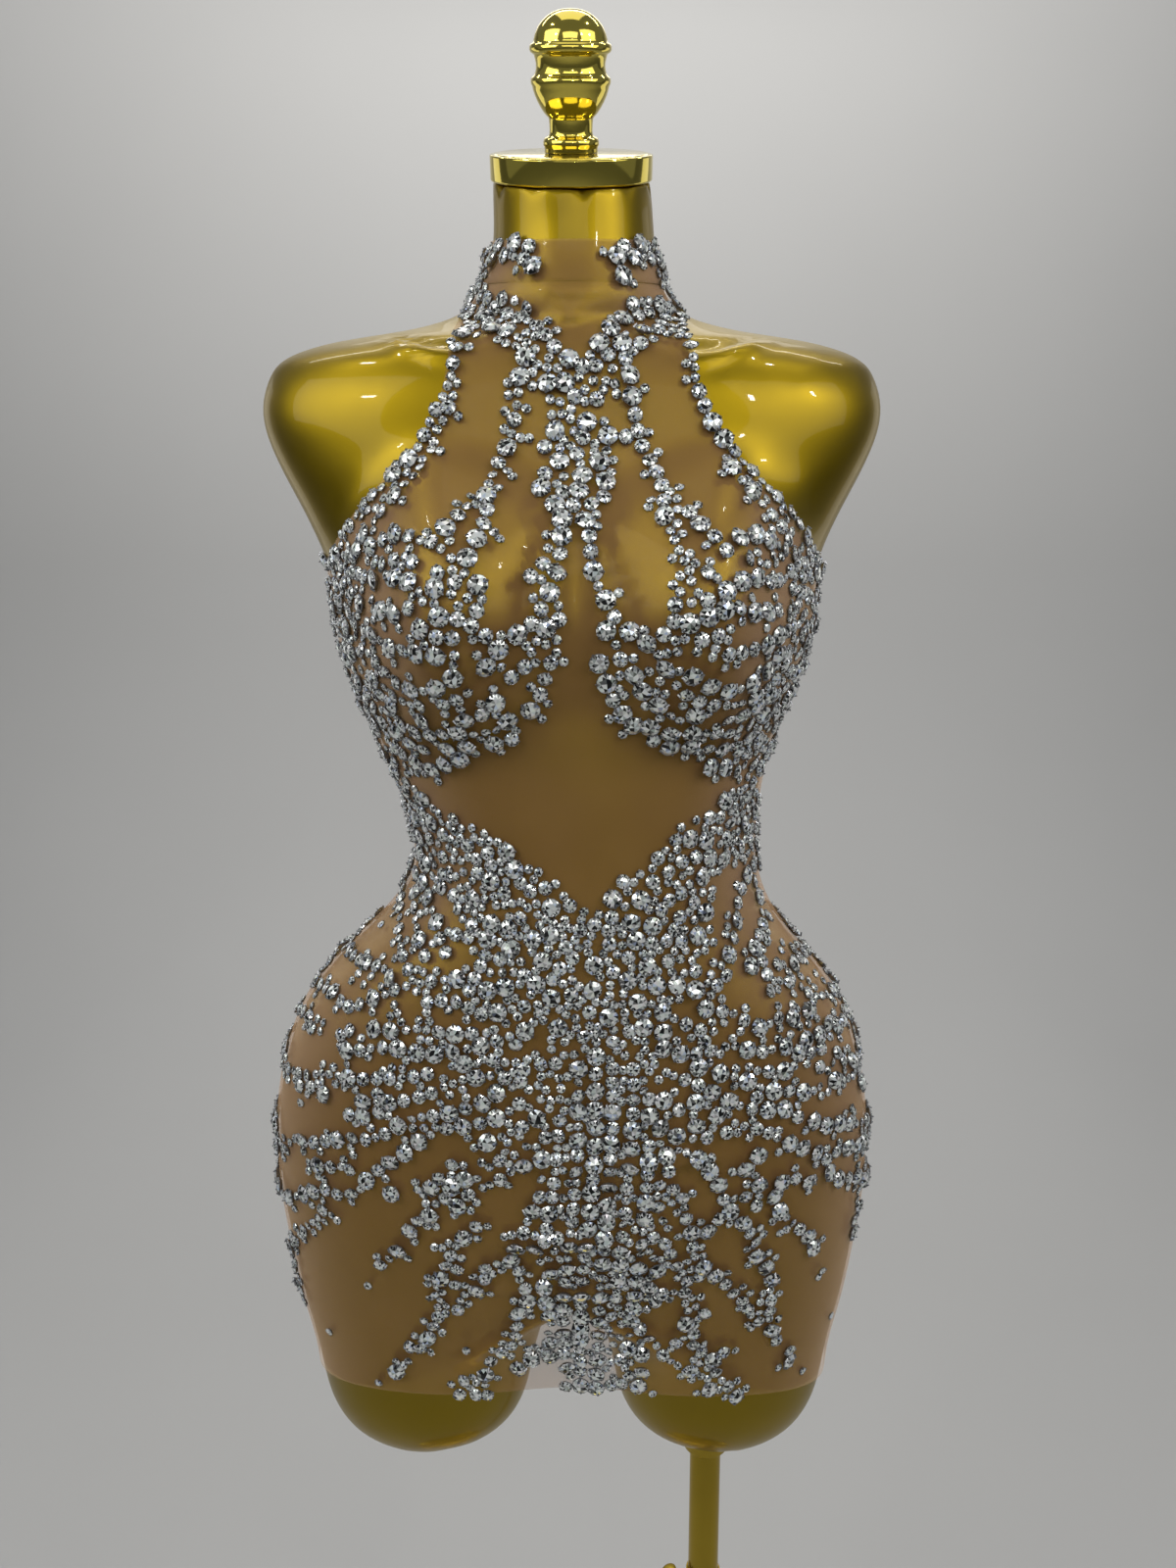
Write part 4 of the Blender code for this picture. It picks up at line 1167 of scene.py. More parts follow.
@dataclass(frozen=True)
class StoneCut:
    """One way of cutting and setting a stone, drawn for a girdle of radius 1."""

    table_sides: int
    girdle_sides: int
    mid_ring: bool
    claws: int
    cup_sides: int
    table: float = 0.56
    crown: float = 0.32
    mid_radius: float = 0.82
    mid_share: float = 0.62
    girdle_top: float = 0.07
    girdle_low: float = -0.08
    under_radius: float = 0.93
    cup_depth: float = 0.36
    claw_out: float = 0.95
    claw_up: float = 0.16
    claw_bend: float = 28.0

    @staticmethod
    def ring(shape: bmesh.types.BMesh, sides: int, radius: float, height: float, turn: float) -> None:
        """Add one ring of vertices.

        Args:
            shape: the bmesh.
            sides: how many vertices the ring has.
            radius: its radius.
            height: its height.
            turn: how far it is turned about its axis, in radians.
        """
        verts = bmesh.ops.create_circle(shape, segments=sides, radius=radius)["verts"]
        bmesh.ops.rotate(shape, verts=verts, cent=(0, 0, 0), matrix=Matrix.Rotation(turn, 3, "Z"))
        bmesh.ops.translate(shape, verts=verts, vec=(0.0, 0.0, height))

    def crystal(self) -> bpy.types.Mesh:
        """The faceted stone.

        Returns:
            Its mesh.
        """
        shape = bmesh.new()
        step = math.pi / self.table_sides
        self.ring(shape, self.table_sides, self.table, self.crown, 0.0)
        if self.mid_ring:
            self.ring(shape, self.table_sides, self.mid_radius, self.mid_share * self.crown, step)
        self.ring(shape, self.girdle_sides, 1.0, self.girdle_top, step / 2)
        self.ring(shape, self.girdle_sides, self.under_radius, self.girdle_low, step / 2)
        shape.verts.new((0.0, 0.0, self.crown + self.girdle_top))
        bmesh.ops.convex_hull(shape, input=shape.verts)
        bmesh.ops.recalc_face_normals(shape, faces=shape.faces)
        mesh = bpy.data.meshes.new("crystal_cut")
        shape.to_mesh(mesh)
        shape.free()
        return mesh

    def setting(self) -> bpy.types.Mesh:
        """The metal cup under the stone, with its claws bent over the girdle.

        Returns:
            Its mesh.
        """
        shape = bmesh.new()
        profile = ((0.0, -self.cup_depth), (0.74, -self.cup_depth), (1.07, -0.02), (1.05, 0.1), (0.9, 0.0))
        verts = [shape.verts.new((r, 0.0, h)) for r, h in profile]
        edges = [shape.edges.new(pair) for pair in zip(verts, verts[1:])]
        bmesh.ops.spin(
            shape, geom=verts + edges, cent=(0, 0, 0), axis=(0, 0, 1),
            angle=2 * math.pi, steps=self.cup_sides, use_merge=True,
        )
        bmesh.ops.remove_doubles(shape, verts=shape.verts, dist=0.001)
        bmesh.ops.recalc_face_normals(shape, faces=shape.faces)
        for k in range(self.claws):
            claw = bmesh.ops.create_cone(
                shape, cap_ends=True, segments=4, radius1=0.15, radius2=0.07, depth=0.5
            )["verts"]
            bend = Matrix.Rotation(math.radians(-self.claw_bend), 4, "Y")
            out = Matrix.Translation((self.claw_out, 0.0, self.claw_up))
            round_stone = Matrix.Rotation(2 * math.pi * k / self.claws, 4, "Z")
            bmesh.ops.transform(shape, matrix=round_stone @ out @ bend, verts=claw)
        mesh = bpy.data.meshes.new("setting_cut")
        shape.to_mesh(mesh)
        shape.free()
        return mesh


@dataclass(frozen=True)
class Row:
    """A row of stones along a line drawn in the photograph's pixels.

    shares are the chances of a large, a medium and a small stone, beside is the chance that a small stone
    sits beside each one, and wrap is how far, in millimetres, the row goes on past its first point round
    the side that the photograph doesn't show. gap is the room between two stones, in millimetres. A row
    behind is drawn from the viewpoint behind the object.
    """

    line: tuple[Pixel, ...]
    shares: tuple[float, float, float] = (0.34, 0.36, 0.30)
    beside: float = 0.35
    wrap: float = 0.0
    gap: float = 0.25
    behind: bool = False


@dataclass(frozen=True)
class Patch:
    """A part of the dress that is filled with stones, outlined in the photograph's pixels.

    darts is how often a stone is tried, and shares are the chances of a large, a medium and a small one.
    """

    outline: tuple[Pixel, ...]
    darts: int
    shares: tuple[float, float, float] = (0.42, 0.30, 0.28)


ARMHOLE_ROWS = {
    "armhole_edge": Row(
        ((474, 262), (476, 300), (478, 330), (466, 358), (458, 392), (441, 428), (424, 462), (399, 490),
         (376, 512), (360, 535), (347, 562)),
        (0.12, 0.50, 0.38), 0.55, gap=0.1,
    ),
    "armhole_inner": Row(
        ((470, 366), (466, 394), (453, 430), (438, 465), (414, 495), (392, 521), (374, 545), (362, 572)),
        (0.3, 0.4, 0.3), 0.5,
    ),
    "collar_fold": Row(((504, 266), (520, 262), (536, 266)), (0.4, 0.4, 0.2), 0.2),
    "neck_side": Row(((486, 262), (490, 295), (494, 322), (503, 338)), (0.3, 0.5, 0.2), 0.5),
    "collar_top": Row(((478, 268), (500, 254), (522, 250), (541, 252)), (0.25, 0.45, 0.3), 0.3),
    "collar_hook": Row(((541, 252), (546, 266), (540, 282)), (0.4, 0.5, 0.1), 0.3),
    "collar_low": Row(((484, 284), (500, 274), (512, 266)), (0.2, 0.6, 0.2), 0.2),
    "diagonal_upper": Row(
        ((497, 310), (520, 322), (543, 330), (558, 345), (573, 362), (590, 372)),
        (0.3, 0.45, 0.25), 0.4,
    ),
    "diagonal_lower": Row(
        ((500, 328), (519, 340), (536, 350), (552, 362), (566, 374)),
        (0.35, 0.4, 0.25), 0.3,
    ),
    "breast_drop": Row(
        ((536, 364), (531, 384), (528, 410), (523, 440), (516, 462), (505, 480), (497, 503), (496, 528),
         (487, 548), (478, 568), (468, 580)),
        (0.42, 0.26, 0.32), 0.5,
    ),
    "breast_branch": Row(
        ((502, 492), (484, 508), (471, 524), (459, 536), (448, 546), (434, 562)),
        (0.2, 0.4, 0.4), 0.35,
    ),
    "cup_rim_upper": Row(
        ((380, 558), (394, 550), (411, 546), (428, 552), (440, 553), (456, 548)),
        (0.3, 0.3, 0.4), 0.4,
    ),
    "cup_rim_second": Row(((392, 576), (408, 571), (421, 566), (431, 560)), (0.2, 0.4, 0.4), 0.3),
    "cup_fan_a": Row(((374, 590), (391, 594), (412, 589), (427, 604), (446, 600)), (0.5, 0.3, 0.2), 0.4),
    "cup_fan_b": Row(((440, 588), (452, 584), (466, 582), (482, 590), (490, 604)), (0.2, 0.3, 0.5), 0.3),
    "cup_fan_c": Row(
        ((382, 622), (404, 626), (424, 620), (440, 622), (458, 606)),
        (0.6, 0.25, 0.15), 0.35,
    ),
    "cup_heart": Row(((448, 630), (462, 628), (474, 640), (487, 632), (484, 614)), (0.4, 0.4, 0.2), 0.5),
    "cup_heart_low": Row(
        ((430, 642), (452, 652), (468, 650), (484, 654), (497, 646)),
        (0.5, 0.3, 0.2), 0.5,
    ),
    "cup_arc_1": Row(
        ((366, 640), (382, 648), (398, 660), (416, 664), (434, 668), (452, 668), (470, 668)),
        (0.4, 0.35, 0.25), 0.45,
    ),
    "inner_strand": Row(
        ((573, 548), (571, 566), (568, 585), (562, 602), (553, 618), (545, 632), (528, 646), (511, 657),
         (500, 672), (490, 690)),
        (0.62, 0.26, 0.12), 0.3, gap=0.1,
    ),
    "inner_strand_twin": Row(
        ((557, 641), (547, 654), (541, 670), (530, 684), (519, 692)),
        (0.5, 0.3, 0.2), 0.35,
    ),
    "inner_hook": Row(
        ((562, 676), (556, 690), (552, 706), (544, 720), (532, 735)),
        (0.45, 0.35, 0.2), 0.4,
    ),
    "cup_arc_2": Row(
        ((382, 668), (398, 688), (418, 702), (440, 703), (460, 692), (474, 684)),
        (0.45, 0.35, 0.2), 0.3,
    ),
    "cup_arc_3": Row(
        ((384, 692), (402, 708), (420, 718), (448, 718), (472, 710), (490, 692)),
        (0.25, 0.35, 0.4), 0.2,
    ),
    "cup_arc_4": Row(
        ((390, 708), (412, 726), (434, 734), (460, 728), (478, 734), (494, 726), (512, 708), (530, 698)),
        (0.6, 0.25, 0.15), 0.4,
    ),
    "cup_arc_5": Row(
        ((398, 728), (418, 742), (438, 748), (466, 746), (488, 748), (512, 740), (528, 720), (545, 706)),
        (0.6, 0.25, 0.15), 0.4,
    ),
    "cup_arc_6": Row(
        ((406, 746), (424, 760), (446, 764), (470, 760), (494, 760), (510, 753), (532, 735)),
        (0.5, 0.3, 0.2), 0.3,
    ),
    "cup_low_edge": Row(
        ((414, 768), (428, 778), (442, 784), (457, 778), (476, 770)),
        (0.5, 0.3, 0.2), 0.2,
    ),
    "side_strand": Row(
        ((396, 770), (405, 792), (413, 812), (424, 830), (434, 846)),
        (0.35, 0.45, 0.2), 0.5, 30.0,
    ),
}

CENTRE_ROWS = {
    "chain_left": Row(((574, 532), (573, 548)), (0.9, 0.1, 0.0), 0.0),
    "chain_right": Row(((597, 532), (599, 548)), (0.9, 0.1, 0.0), 0.0),
    "column_1": Row(
        ((608, 1062), (608, 1110), (607, 1160), (604, 1210), (599, 1260), (594, 1310), (592, 1360),
         (593, 1418)),
        (0.6, 0.34, 0.06), 0.05, gap=0.1,
    ),
    "column_2": Row(
        ((625, 1062), (625, 1110), (624, 1160), (621, 1210), (617, 1260), (613, 1310), (611, 1360),
         (608, 1418)),
        (0.6, 0.34, 0.06), 0.05, gap=0.1,
    ),
    "column_3": Row(
        ((590, 1090), (590, 1150), (588, 1200), (583, 1250), (577, 1300), (574, 1340), (577, 1370),
         (586, 1392), (592, 1414)),
        (0.45, 0.35, 0.2), 0.15,
    ),
    "column_4": Row(
        ((646, 1090), (645, 1150), (641, 1200), (636, 1250), (631, 1300), (628, 1330)),
        (0.45, 0.35, 0.2), 0.15,
    ),
    "column_5": Row(
        ((572, 1110), (570, 1160), (566, 1200), (560, 1240), (556, 1270)),
        (0.4, 0.35, 0.25), 0.2,
    ),
    "column_6": Row(
        ((662, 1120), (662, 1170), (660, 1210), (656, 1260), (650, 1300), (646, 1340)),
        (0.4, 0.35, 0.25), 0.2,
    ),
    "hem_cluster": Row(((640, 1374), (633, 1388), (643, 1402), (630, 1414)), (0.6, 0.3, 0.1), 0.5),
}

LEFT_RAYS = {
    "waist_strand_1": Row(
        ((420, 884), (413, 905), (409, 935), (409, 962), (416, 985), (424, 1006)),
        (0.2, 0.5, 0.3), 0.35, 24.0,
    ),
    "waist_strand_2": Row(
        ((428, 892), (426, 915), (424, 935), (430, 962), (440, 985)),
        (0.3, 0.45, 0.25), 0.3,
    ),
    "waist_strand_3": Row(
        ((434, 900), (441, 924), (448, 945), (452, 964), (462, 985)),
        (0.45, 0.35, 0.2), 0.3,
    ),
    "hip_contour": Row(
        ((356, 941), (355, 959), (363, 976), (379, 985), (393, 989), (402, 1003)),
        (0.3, 0.5, 0.2), 0.3, 30.0,
    ),
    "hip_1": Row(
        ((325, 974), (319, 990), (327, 1004), (342, 1013), (356, 1027), (371, 1024), (388, 1016),
         (404, 1010), (420, 998), (438, 990)),
        (0.35, 0.45, 0.2), 0.45, 30.0,
    ),
    "hip_1_knot": Row(((305, 1029), (316, 1036), (321, 1050), (331, 1052)), (0.1, 0.45, 0.45), 0.6),
    "hip_2": Row(
        ((350, 1056), (357, 1073), (374, 1070), (400, 1068), (430, 1074), (459, 1074), (484, 1068),
         (512, 1060), (540, 1050)),
        (0.42, 0.33, 0.25), 0.5,
    ),
    "hip_3": Row(
        ((278, 1068), (285, 1083), (296, 1090), (313, 1097), (330, 1095), (350, 1098), (372, 1100),
         (405, 1100), (437, 1095), (470, 1086), (496, 1080), (524, 1084), (548, 1076)),
        (0.34, 0.38, 0.28), 0.45, 42.0,
    ),
    "hip_3_tail": Row(((308, 1107), (321, 1110), (336, 1119)), (0.2, 0.4, 0.4), 0.2),
    "hip_4": Row(
        ((359, 1117), (376, 1124), (400, 1124), (434, 1117), (466, 1104), (494, 1097), (520, 1100)),
        (0.35, 0.35, 0.3), 0.45,
    ),
    "hip_5": Row(((357, 1136), (372, 1138), (390, 1132)), (0.3, 0.4, 0.3), 0.3),
    "hip_6": Row(
        ((277, 1153), (283, 1165), (291, 1174), (300, 1162), (314, 1164), (331, 1164), (358, 1160),
         (374, 1162), (393, 1157), (415, 1143), (443, 1138), (468, 1133), (494, 1124), (514, 1110),
         (536, 1101)),
        (0.42, 0.33, 0.25), 0.3, 42.0,
    ),
    "hip_7": Row(((316, 1186), (331, 1189), (345, 1190), (359, 1188)), (0.55, 0.2, 0.25), 0.3),
    "hip_8": Row(
        ((281, 1208), (286, 1217), (298, 1220), (314, 1217), (330, 1212), (350, 1218), (369, 1213),
         (377, 1201), (392, 1189), (409, 1179), (425, 1167), (438, 1158), (457, 1150), (490, 1145),
         (512, 1137), (533, 1124)),
        (0.45, 0.33, 0.22), 0.3, 42.0,
    ),
    "hip_8_fork": Row(
        ((334, 1224), (327, 1240), (311, 1255), (300, 1270), (298, 1290), (304, 1311), (309, 1323)),
        (0.3, 0.42, 0.28), 0.4,
    ),
    "single_1": Row(((400, 1216), (406, 1217)), (1.0, 0.0, 0.0), 0.0),
    "thigh_1": Row(((427, 1213), (440, 1211)), (0.5, 0.3, 0.2), 0.2),
    "thigh_knot": Row(((462, 1188), (457, 1205), (468, 1210), (480, 1192)), (0.7, 0.2, 0.1), 0.4),
    "thigh_2": Row(
        ((478, 1218), (461, 1233), (453, 1221), (441, 1233), (436, 1244), (421, 1246), (419, 1260)),
        (0.4, 0.4, 0.2), 0.3,
    ),
    "thigh_2_tail": Row(((406, 1275), (396, 1285), (386, 1291)), (0.4, 0.2, 0.4), 0.1),
    "thigh_3": Row(
        ((486, 1250), (471, 1264), (462, 1276), (452, 1298), (444, 1318), (448, 1340), (439, 1359),
         (430, 1374)),
        (0.42, 0.36, 0.22), 0.4,
    ),
    "thigh_3_tail": Row(((413, 1391), (404, 1398)), (0.5, 0.0, 0.5), 0.3),
    "thigh_4": Row(
        ((527, 1272), (522, 1283), (511, 1296), (497, 1301), (487, 1316), (472, 1321), (467, 1337),
         (456, 1349)),
        (0.32, 0.4, 0.28), 0.4,
    ),
    "thigh_5": Row(
        ((552, 1218), (540, 1242), (534, 1258), (531, 1282), (531, 1306), (540, 1320), (529, 1338),
         (527, 1359), (519, 1374), (503, 1384), (497, 1399), (483, 1412), (467, 1422)),
        (0.45, 0.35, 0.2), 0.35,
    ),
    "thigh_5_foot": Row(((470, 1424), (484, 1428), (500, 1420)), (0.3, 0.4, 0.3), 0.4),
    "thigh_6": Row(
        ((573, 1359), (558, 1371), (541, 1386), (522, 1398), (506, 1404)),
        (0.4, 0.35, 0.25), 0.3,
    ),
    "thigh_7": Row(
        ((551, 1286), (566, 1291), (573, 1313), (576, 1336), (584, 1360), (592, 1385)),
        (0.45, 0.35, 0.2), 0.4,
    ),
    "thigh_8": Row(
        ((560, 1180), (540, 1186), (520, 1196), (506, 1206), (490, 1215), (484, 1232)),
        (0.4, 0.35, 0.25), 0.45,
    ),
    "inner_1": Row(
        ((430, 1003), (448, 1001), (466, 998), (480, 1010), (502, 1010), (527, 1004), (551, 1003),
         (574, 995)),
        (0.5, 0.3, 0.2), 0.4,
    ),
    "inner_2": Row(
        ((437, 1022), (456, 1020), (472, 1023), (488, 1034), (512, 1031), (531, 1027), (551, 1024),
         (572, 1012)),
        (0.42, 0.3, 0.28), 0.5,
    ),
    "inner_3": Row(
        ((383, 1050), (403, 1051), (430, 1050), (459, 1054), (486, 1053), (508, 1046), (530, 1040)),
        (0.42, 0.22, 0.36), 0.3,
    ),
    "inner_4": Row(((403, 1034), (425, 1035), (440, 1036), (459, 1035)), (0.3, 0.3, 0.4), 0.2),
    "inner_5": Row(
        ((560, 1130), (544, 1142), (526, 1152), (510, 1160), (494, 1166), (480, 1172)),
        (0.45, 0.3, 0.25), 0.4,
    ),
    "inner_6": Row(
        ((564, 1156), (548, 1164), (530, 1172), (514, 1180), (500, 1190)),
        (0.4, 0.35, 0.25), 0.4,
    ),
}

RIGHT_RAYS = {
    "waist_strand_1": Row(
        ((762, 888), (756, 905), (751, 925), (750, 945), (746, 965), (738, 984)),
        (0.35, 0.45, 0.2), 0.3, 24.0,
    ),
    "waist_strand_2": Row(
        ((768, 900), (775, 925), (776, 945), (768, 968), (764, 992)),
        (0.3, 0.45, 0.25), 0.35,
    ),
    "waist_strand_3": Row(
        ((782, 935), (781, 955), (776, 975), (781, 995), (785, 1014)),
        (0.25, 0.5, 0.25), 0.3,
    ),
    "hip_contour": Row(
        ((812, 944), (822, 960), (817, 975), (806, 988), (795, 1002), (785, 1015)),
        (0.35, 0.4, 0.25), 0.3, 30.0,
    ),
    "hip_1": Row(
        ((848, 986), (854, 1000), (844, 1014), (830, 1016), (818, 1010), (806, 1004), (792, 1000)),
        (0.25, 0.5, 0.25), 0.5, 30.0,
    ),
    "hip_2": Row(
        ((864, 1022), (861, 1038), (850, 1047), (834, 1040), (822, 1030), (812, 1020)),
        (0.3, 0.45, 0.25), 0.4, 36.0,
    ),
    "hip_3": Row(
        ((834, 1056), (819, 1060), (812, 1042), (795, 1038), (773, 1048), (748, 1034), (728, 1030),
         (706, 1026)),
        (0.5, 0.25, 0.25), 0.35,
    ),
    "hip_4": Row(
        ((882, 1066), (873, 1080), (857, 1080), (844, 1062), (834, 1071), (817, 1075), (800, 1068),
         (772, 1073), (747, 1066), (717, 1074), (692, 1074), (668, 1066)),
        (0.4, 0.34, 0.26), 0.45, 42.0,
    ),
    "hip_4_twin": Row(
        ((877, 1090), (863, 1101), (851, 1103), (840, 1090), (820, 1090), (793, 1092), (768, 1092)),
        (0.42, 0.33, 0.25), 0.35,
    ),
    "hip_5": Row(
        ((836, 1109), (822, 1114), (802, 1112), (788, 1112), (773, 1108), (761, 1102), (732, 1094),
         (710, 1088), (688, 1088)),
        (0.4, 0.33, 0.27), 0.4,
    ),
    "hip_6": Row(
        ((885, 1141), (873, 1146), (857, 1145), (844, 1148), (829, 1143), (838, 1126), (848, 1112)),
        (0.42, 0.38, 0.2), 0.45, 42.0,
    ),
    "hip_7": Row(
        ((812, 1139), (799, 1131), (779, 1131), (766, 1131), (744, 1123), (719, 1110), (697, 1100),
         (680, 1096)),
        (0.42, 0.3, 0.28), 0.35,
    ),
    "hip_8": Row(
        ((874, 1168), (856, 1172), (842, 1182), (830, 1174), (816, 1170), (802, 1165), (788, 1158),
         (773, 1151), (748, 1146), (726, 1134), (706, 1121), (688, 1108)),
        (0.42, 0.33, 0.25), 0.35, 42.0,
    ),
    "hip_9": Row(
        ((880, 1204), (870, 1199), (858, 1203), (846, 1197), (838, 1188), (834, 1180)),
        (0.45, 0.4, 0.15), 0.5, 42.0,
    ),
    "hip_9_fall": Row(
        ((872, 1216), (874, 1230), (869, 1246), (868, 1258), (864, 1268)),
        (0.2, 0.5, 0.3), 0.3,
    ),
    "thigh_1": Row(((824, 1204), (807, 1201), (795, 1206), (784, 1214)), (0.45, 0.25, 0.3), 0.2),
    "thigh_2": Row(
        ((788, 1216), (795, 1234), (805, 1244), (813, 1251), (823, 1260), (829, 1272)),
        (0.35, 0.4, 0.25), 0.35,
    ),
    "thigh_2_end": Row(((838, 1296), (842, 1298)), (0.0, 0.0, 1.0), 0.0),
    "thigh_3": Row(
        ((760, 1192), (773, 1178), (766, 1164), (752, 1158), (736, 1152)),
        (0.6, 0.25, 0.15), 0.3,
    ),
    "thigh_4": Row(((774, 1208), (760, 1220), (778, 1233)), (0.8, 0.1, 0.1), 0.1, gap=1.2),
    "thigh_5": Row(
        ((680, 1180), (700, 1176), (716, 1186), (728, 1200), (736, 1218), (742, 1232), (754, 1243),
         (765, 1257), (772, 1270), (772, 1282), (784, 1296), (786, 1315), (784, 1340), (787, 1357),
         (794, 1373)),
        (0.45, 0.35, 0.2), 0.4,
    ),
    "thigh_5_tail": Row(((804, 1387), (808, 1390)), (1.0, 0.0, 0.0), 0.3),
    "thigh_6": Row(
        ((672, 1208), (690, 1214), (697, 1226), (700, 1244), (706, 1260), (708, 1281), (725, 1297),
         (737, 1306), (748, 1318), (757, 1326), (765, 1338), (777, 1350)),
        (0.45, 0.35, 0.2), 0.35,
    ),
    "thigh_6_loop": Row(((735, 1238), (726, 1252), (714, 1258), (702, 1264)), (0.3, 0.5, 0.2), 0.2),
    "thigh_7": Row(
        ((690, 1290), (701, 1306), (698, 1322), (702, 1338), (699, 1350), (708, 1361), (708, 1375),
         (725, 1384), (730, 1399), (741, 1412), (753, 1427)),
        (0.45, 0.35, 0.2), 0.4,
    ),
    "thigh_7_foot": Row(((721, 1412), (728, 1424), (740, 1432)), (0.4, 0.4, 0.2), 0.3),
    "thigh_8": Row(
        ((640, 1340), (652, 1354), (667, 1369), (684, 1388), (704, 1398), (718, 1404)),
        (0.42, 0.33, 0.25), 0.3,
    ),
    "thigh_9": Row(
        ((688, 1316), (672, 1320), (660, 1314), (650, 1326), (654, 1342)),
        (0.45, 0.35, 0.2), 0.3,
    ),
    "inner_1": Row(
        ((640, 1000), (660, 1006), (684, 1004), (706, 1010), (728, 1006), (744, 1000)),
        (0.55, 0.25, 0.2), 0.4,
    ),
    "inner_2": Row(
        ((650, 1022), (668, 1028), (690, 1040), (712, 1050), (732, 1052)),
        (0.5, 0.25, 0.25), 0.45,
    ),
    "inner_3": Row(((656, 1048), (676, 1052), (700, 1060), (722, 1062)), (0.45, 0.3, 0.25), 0.4),
    "inner_4": Row(
        ((672, 1120), (690, 1130), (704, 1142), (716, 1154), (726, 1168)),
        (0.5, 0.3, 0.2), 0.4,
    ),
    "inner_5": Row(((668, 1148), (686, 1156), (700, 1164), (712, 1178)), (0.42, 0.33, 0.25), 0.35),
}

PLAIN_PATCHES = {
    "plastron": Patch(
        ((545, 358), (590, 372), (634, 358), (652, 378), (640, 398), (612, 412), (566, 412), (540, 396),
         (534, 376)),
        900,
    ),
    "breast_column": Patch(
        ((562, 412), (618, 412), (628, 450), (624, 500), (606, 532), (570, 532), (550, 505), (554, 450)),
        800, (0.6, 0.2, 0.2),
    ),
    "belt_left": Patch(
        ((436, 822), (478, 842), (508, 857), (532, 870), (554, 892), (582, 912), (607, 934), (607, 990),
         (560, 990), (484, 975), (474, 940), (452, 908), (428, 882), (424, 850)),
        5200, (0.4, 0.34, 0.26),
    ),
    "belt_right": Patch(
        ((607, 934), (618, 930), (634, 898), (664, 880), (682, 850), (710, 834), (740, 824), (772, 806),
         (772, 872), (728, 892), (724, 930), (732, 962), (700, 985), (650, 995), (607, 990)),
        5200, (0.4, 0.34, 0.26),
    ),
    "skirt_mass": Patch(
        ((484, 975), (560, 990), (650, 995), (735, 980), (748, 1004), (700, 1012), (665, 1040),
         (660, 1066), (560, 1062), (548, 1036), (500, 1018), (460, 1000)),
        2600, (0.4, 0.3, 0.3),
    ),
    "centre_upper": Patch(
        ((560, 1062), (664, 1062), (676, 1100), (664, 1150), (560, 1150), (544, 1100)),
        700, (0.3, 0.3, 0.4),
    ),
    "centre_lower": Patch(
        ((556, 1160), (672, 1160), (694, 1220), (684, 1296), (640, 1330), (570, 1316), (542, 1280),
         (548, 1220)),
        1000, (0.35, 0.35, 0.3),
    ),
}

HEM_PATCHES = {
    "skirt_foot": Patch(
        ((548, 1296), (676, 1296), (672, 1330), (650, 1352), (664, 1372), (556, 1372), (560, 1340)),
        620, (0.4, 0.35, 0.25),
    ),
    "foot_left": Patch(((574, 1378), (596, 1378), (598, 1424), (574, 1426)), 120, (0.6, 0.3, 0.1)),
    "foot_middle": Patch(((602, 1376), (624, 1376), (622, 1420), (604, 1420)), 110, (0.5, 0.4, 0.1)),
    "foot_right": Patch(((632, 1372), (656, 1372), (658, 1418), (634, 1422)), 120, (0.6, 0.3, 0.1)),
    "foot_far_left": Patch(
        ((456, 1408), (486, 1400), (500, 1412), (486, 1426), (460, 1428)),
        120, (0.5, 0.3, 0.2),
    ),
    "foot_far_right": Patch(
        ((716, 1392), (740, 1396), (758, 1420), (748, 1432), (724, 1424)),
        120, (0.5, 0.3, 0.2),
    ),
}

SIDE_PATCHES = {
    "neck_band": Patch(
        ((478, 262), (498, 256), (502, 298), (522, 304), (546, 318), (558, 332), (576, 362), (590, 374),
         (560, 378), (534, 362), (512, 352), (488, 344), (476, 326)),
        900, (0.35, 0.45, 0.2),
    ),
    "cup_heart": Patch(
        ((440, 600), (470, 592), (492, 610), (486, 640), (480, 668), (450, 672), (428, 650), (425, 620)),
        240, (0.6, 0.3, 0.1),
    ),
    "cup_side": Patch(
        ((334, 562), (362, 556), (374, 590), (372, 630), (386, 676), (398, 712), (414, 752), (440, 786),
         (414, 800), (396, 772), (370, 722), (348, 668), (334, 610)),
        3800, (0.3, 0.42, 0.28),
    ),
    "waist_side": Patch(
        ((412, 800), (432, 806), (446, 828), (440, 862), (424, 858), (414, 830)),
        700, (0.3, 0.4, 0.3),
    ),
}

SCATTER_SPOTS: tuple[Pixel, ...] = (
    (390, 944), (396, 966), (402, 974), (340, 981), (360, 1001), (372, 1005), (305, 1030), (308, 1125),
    (307, 1126), (376, 1311), (337, 1358), (387, 1410), (476, 1377), (518, 1324), (797, 962), (796, 970),
    (831, 994), (824, 1001), (839, 1001), (840, 1297), (847, 1342), (818, 1398), (750, 1377), (715, 1322),
    (666, 1421), (556, 1420), (430, 930), (792, 1068), (880, 1110),
)


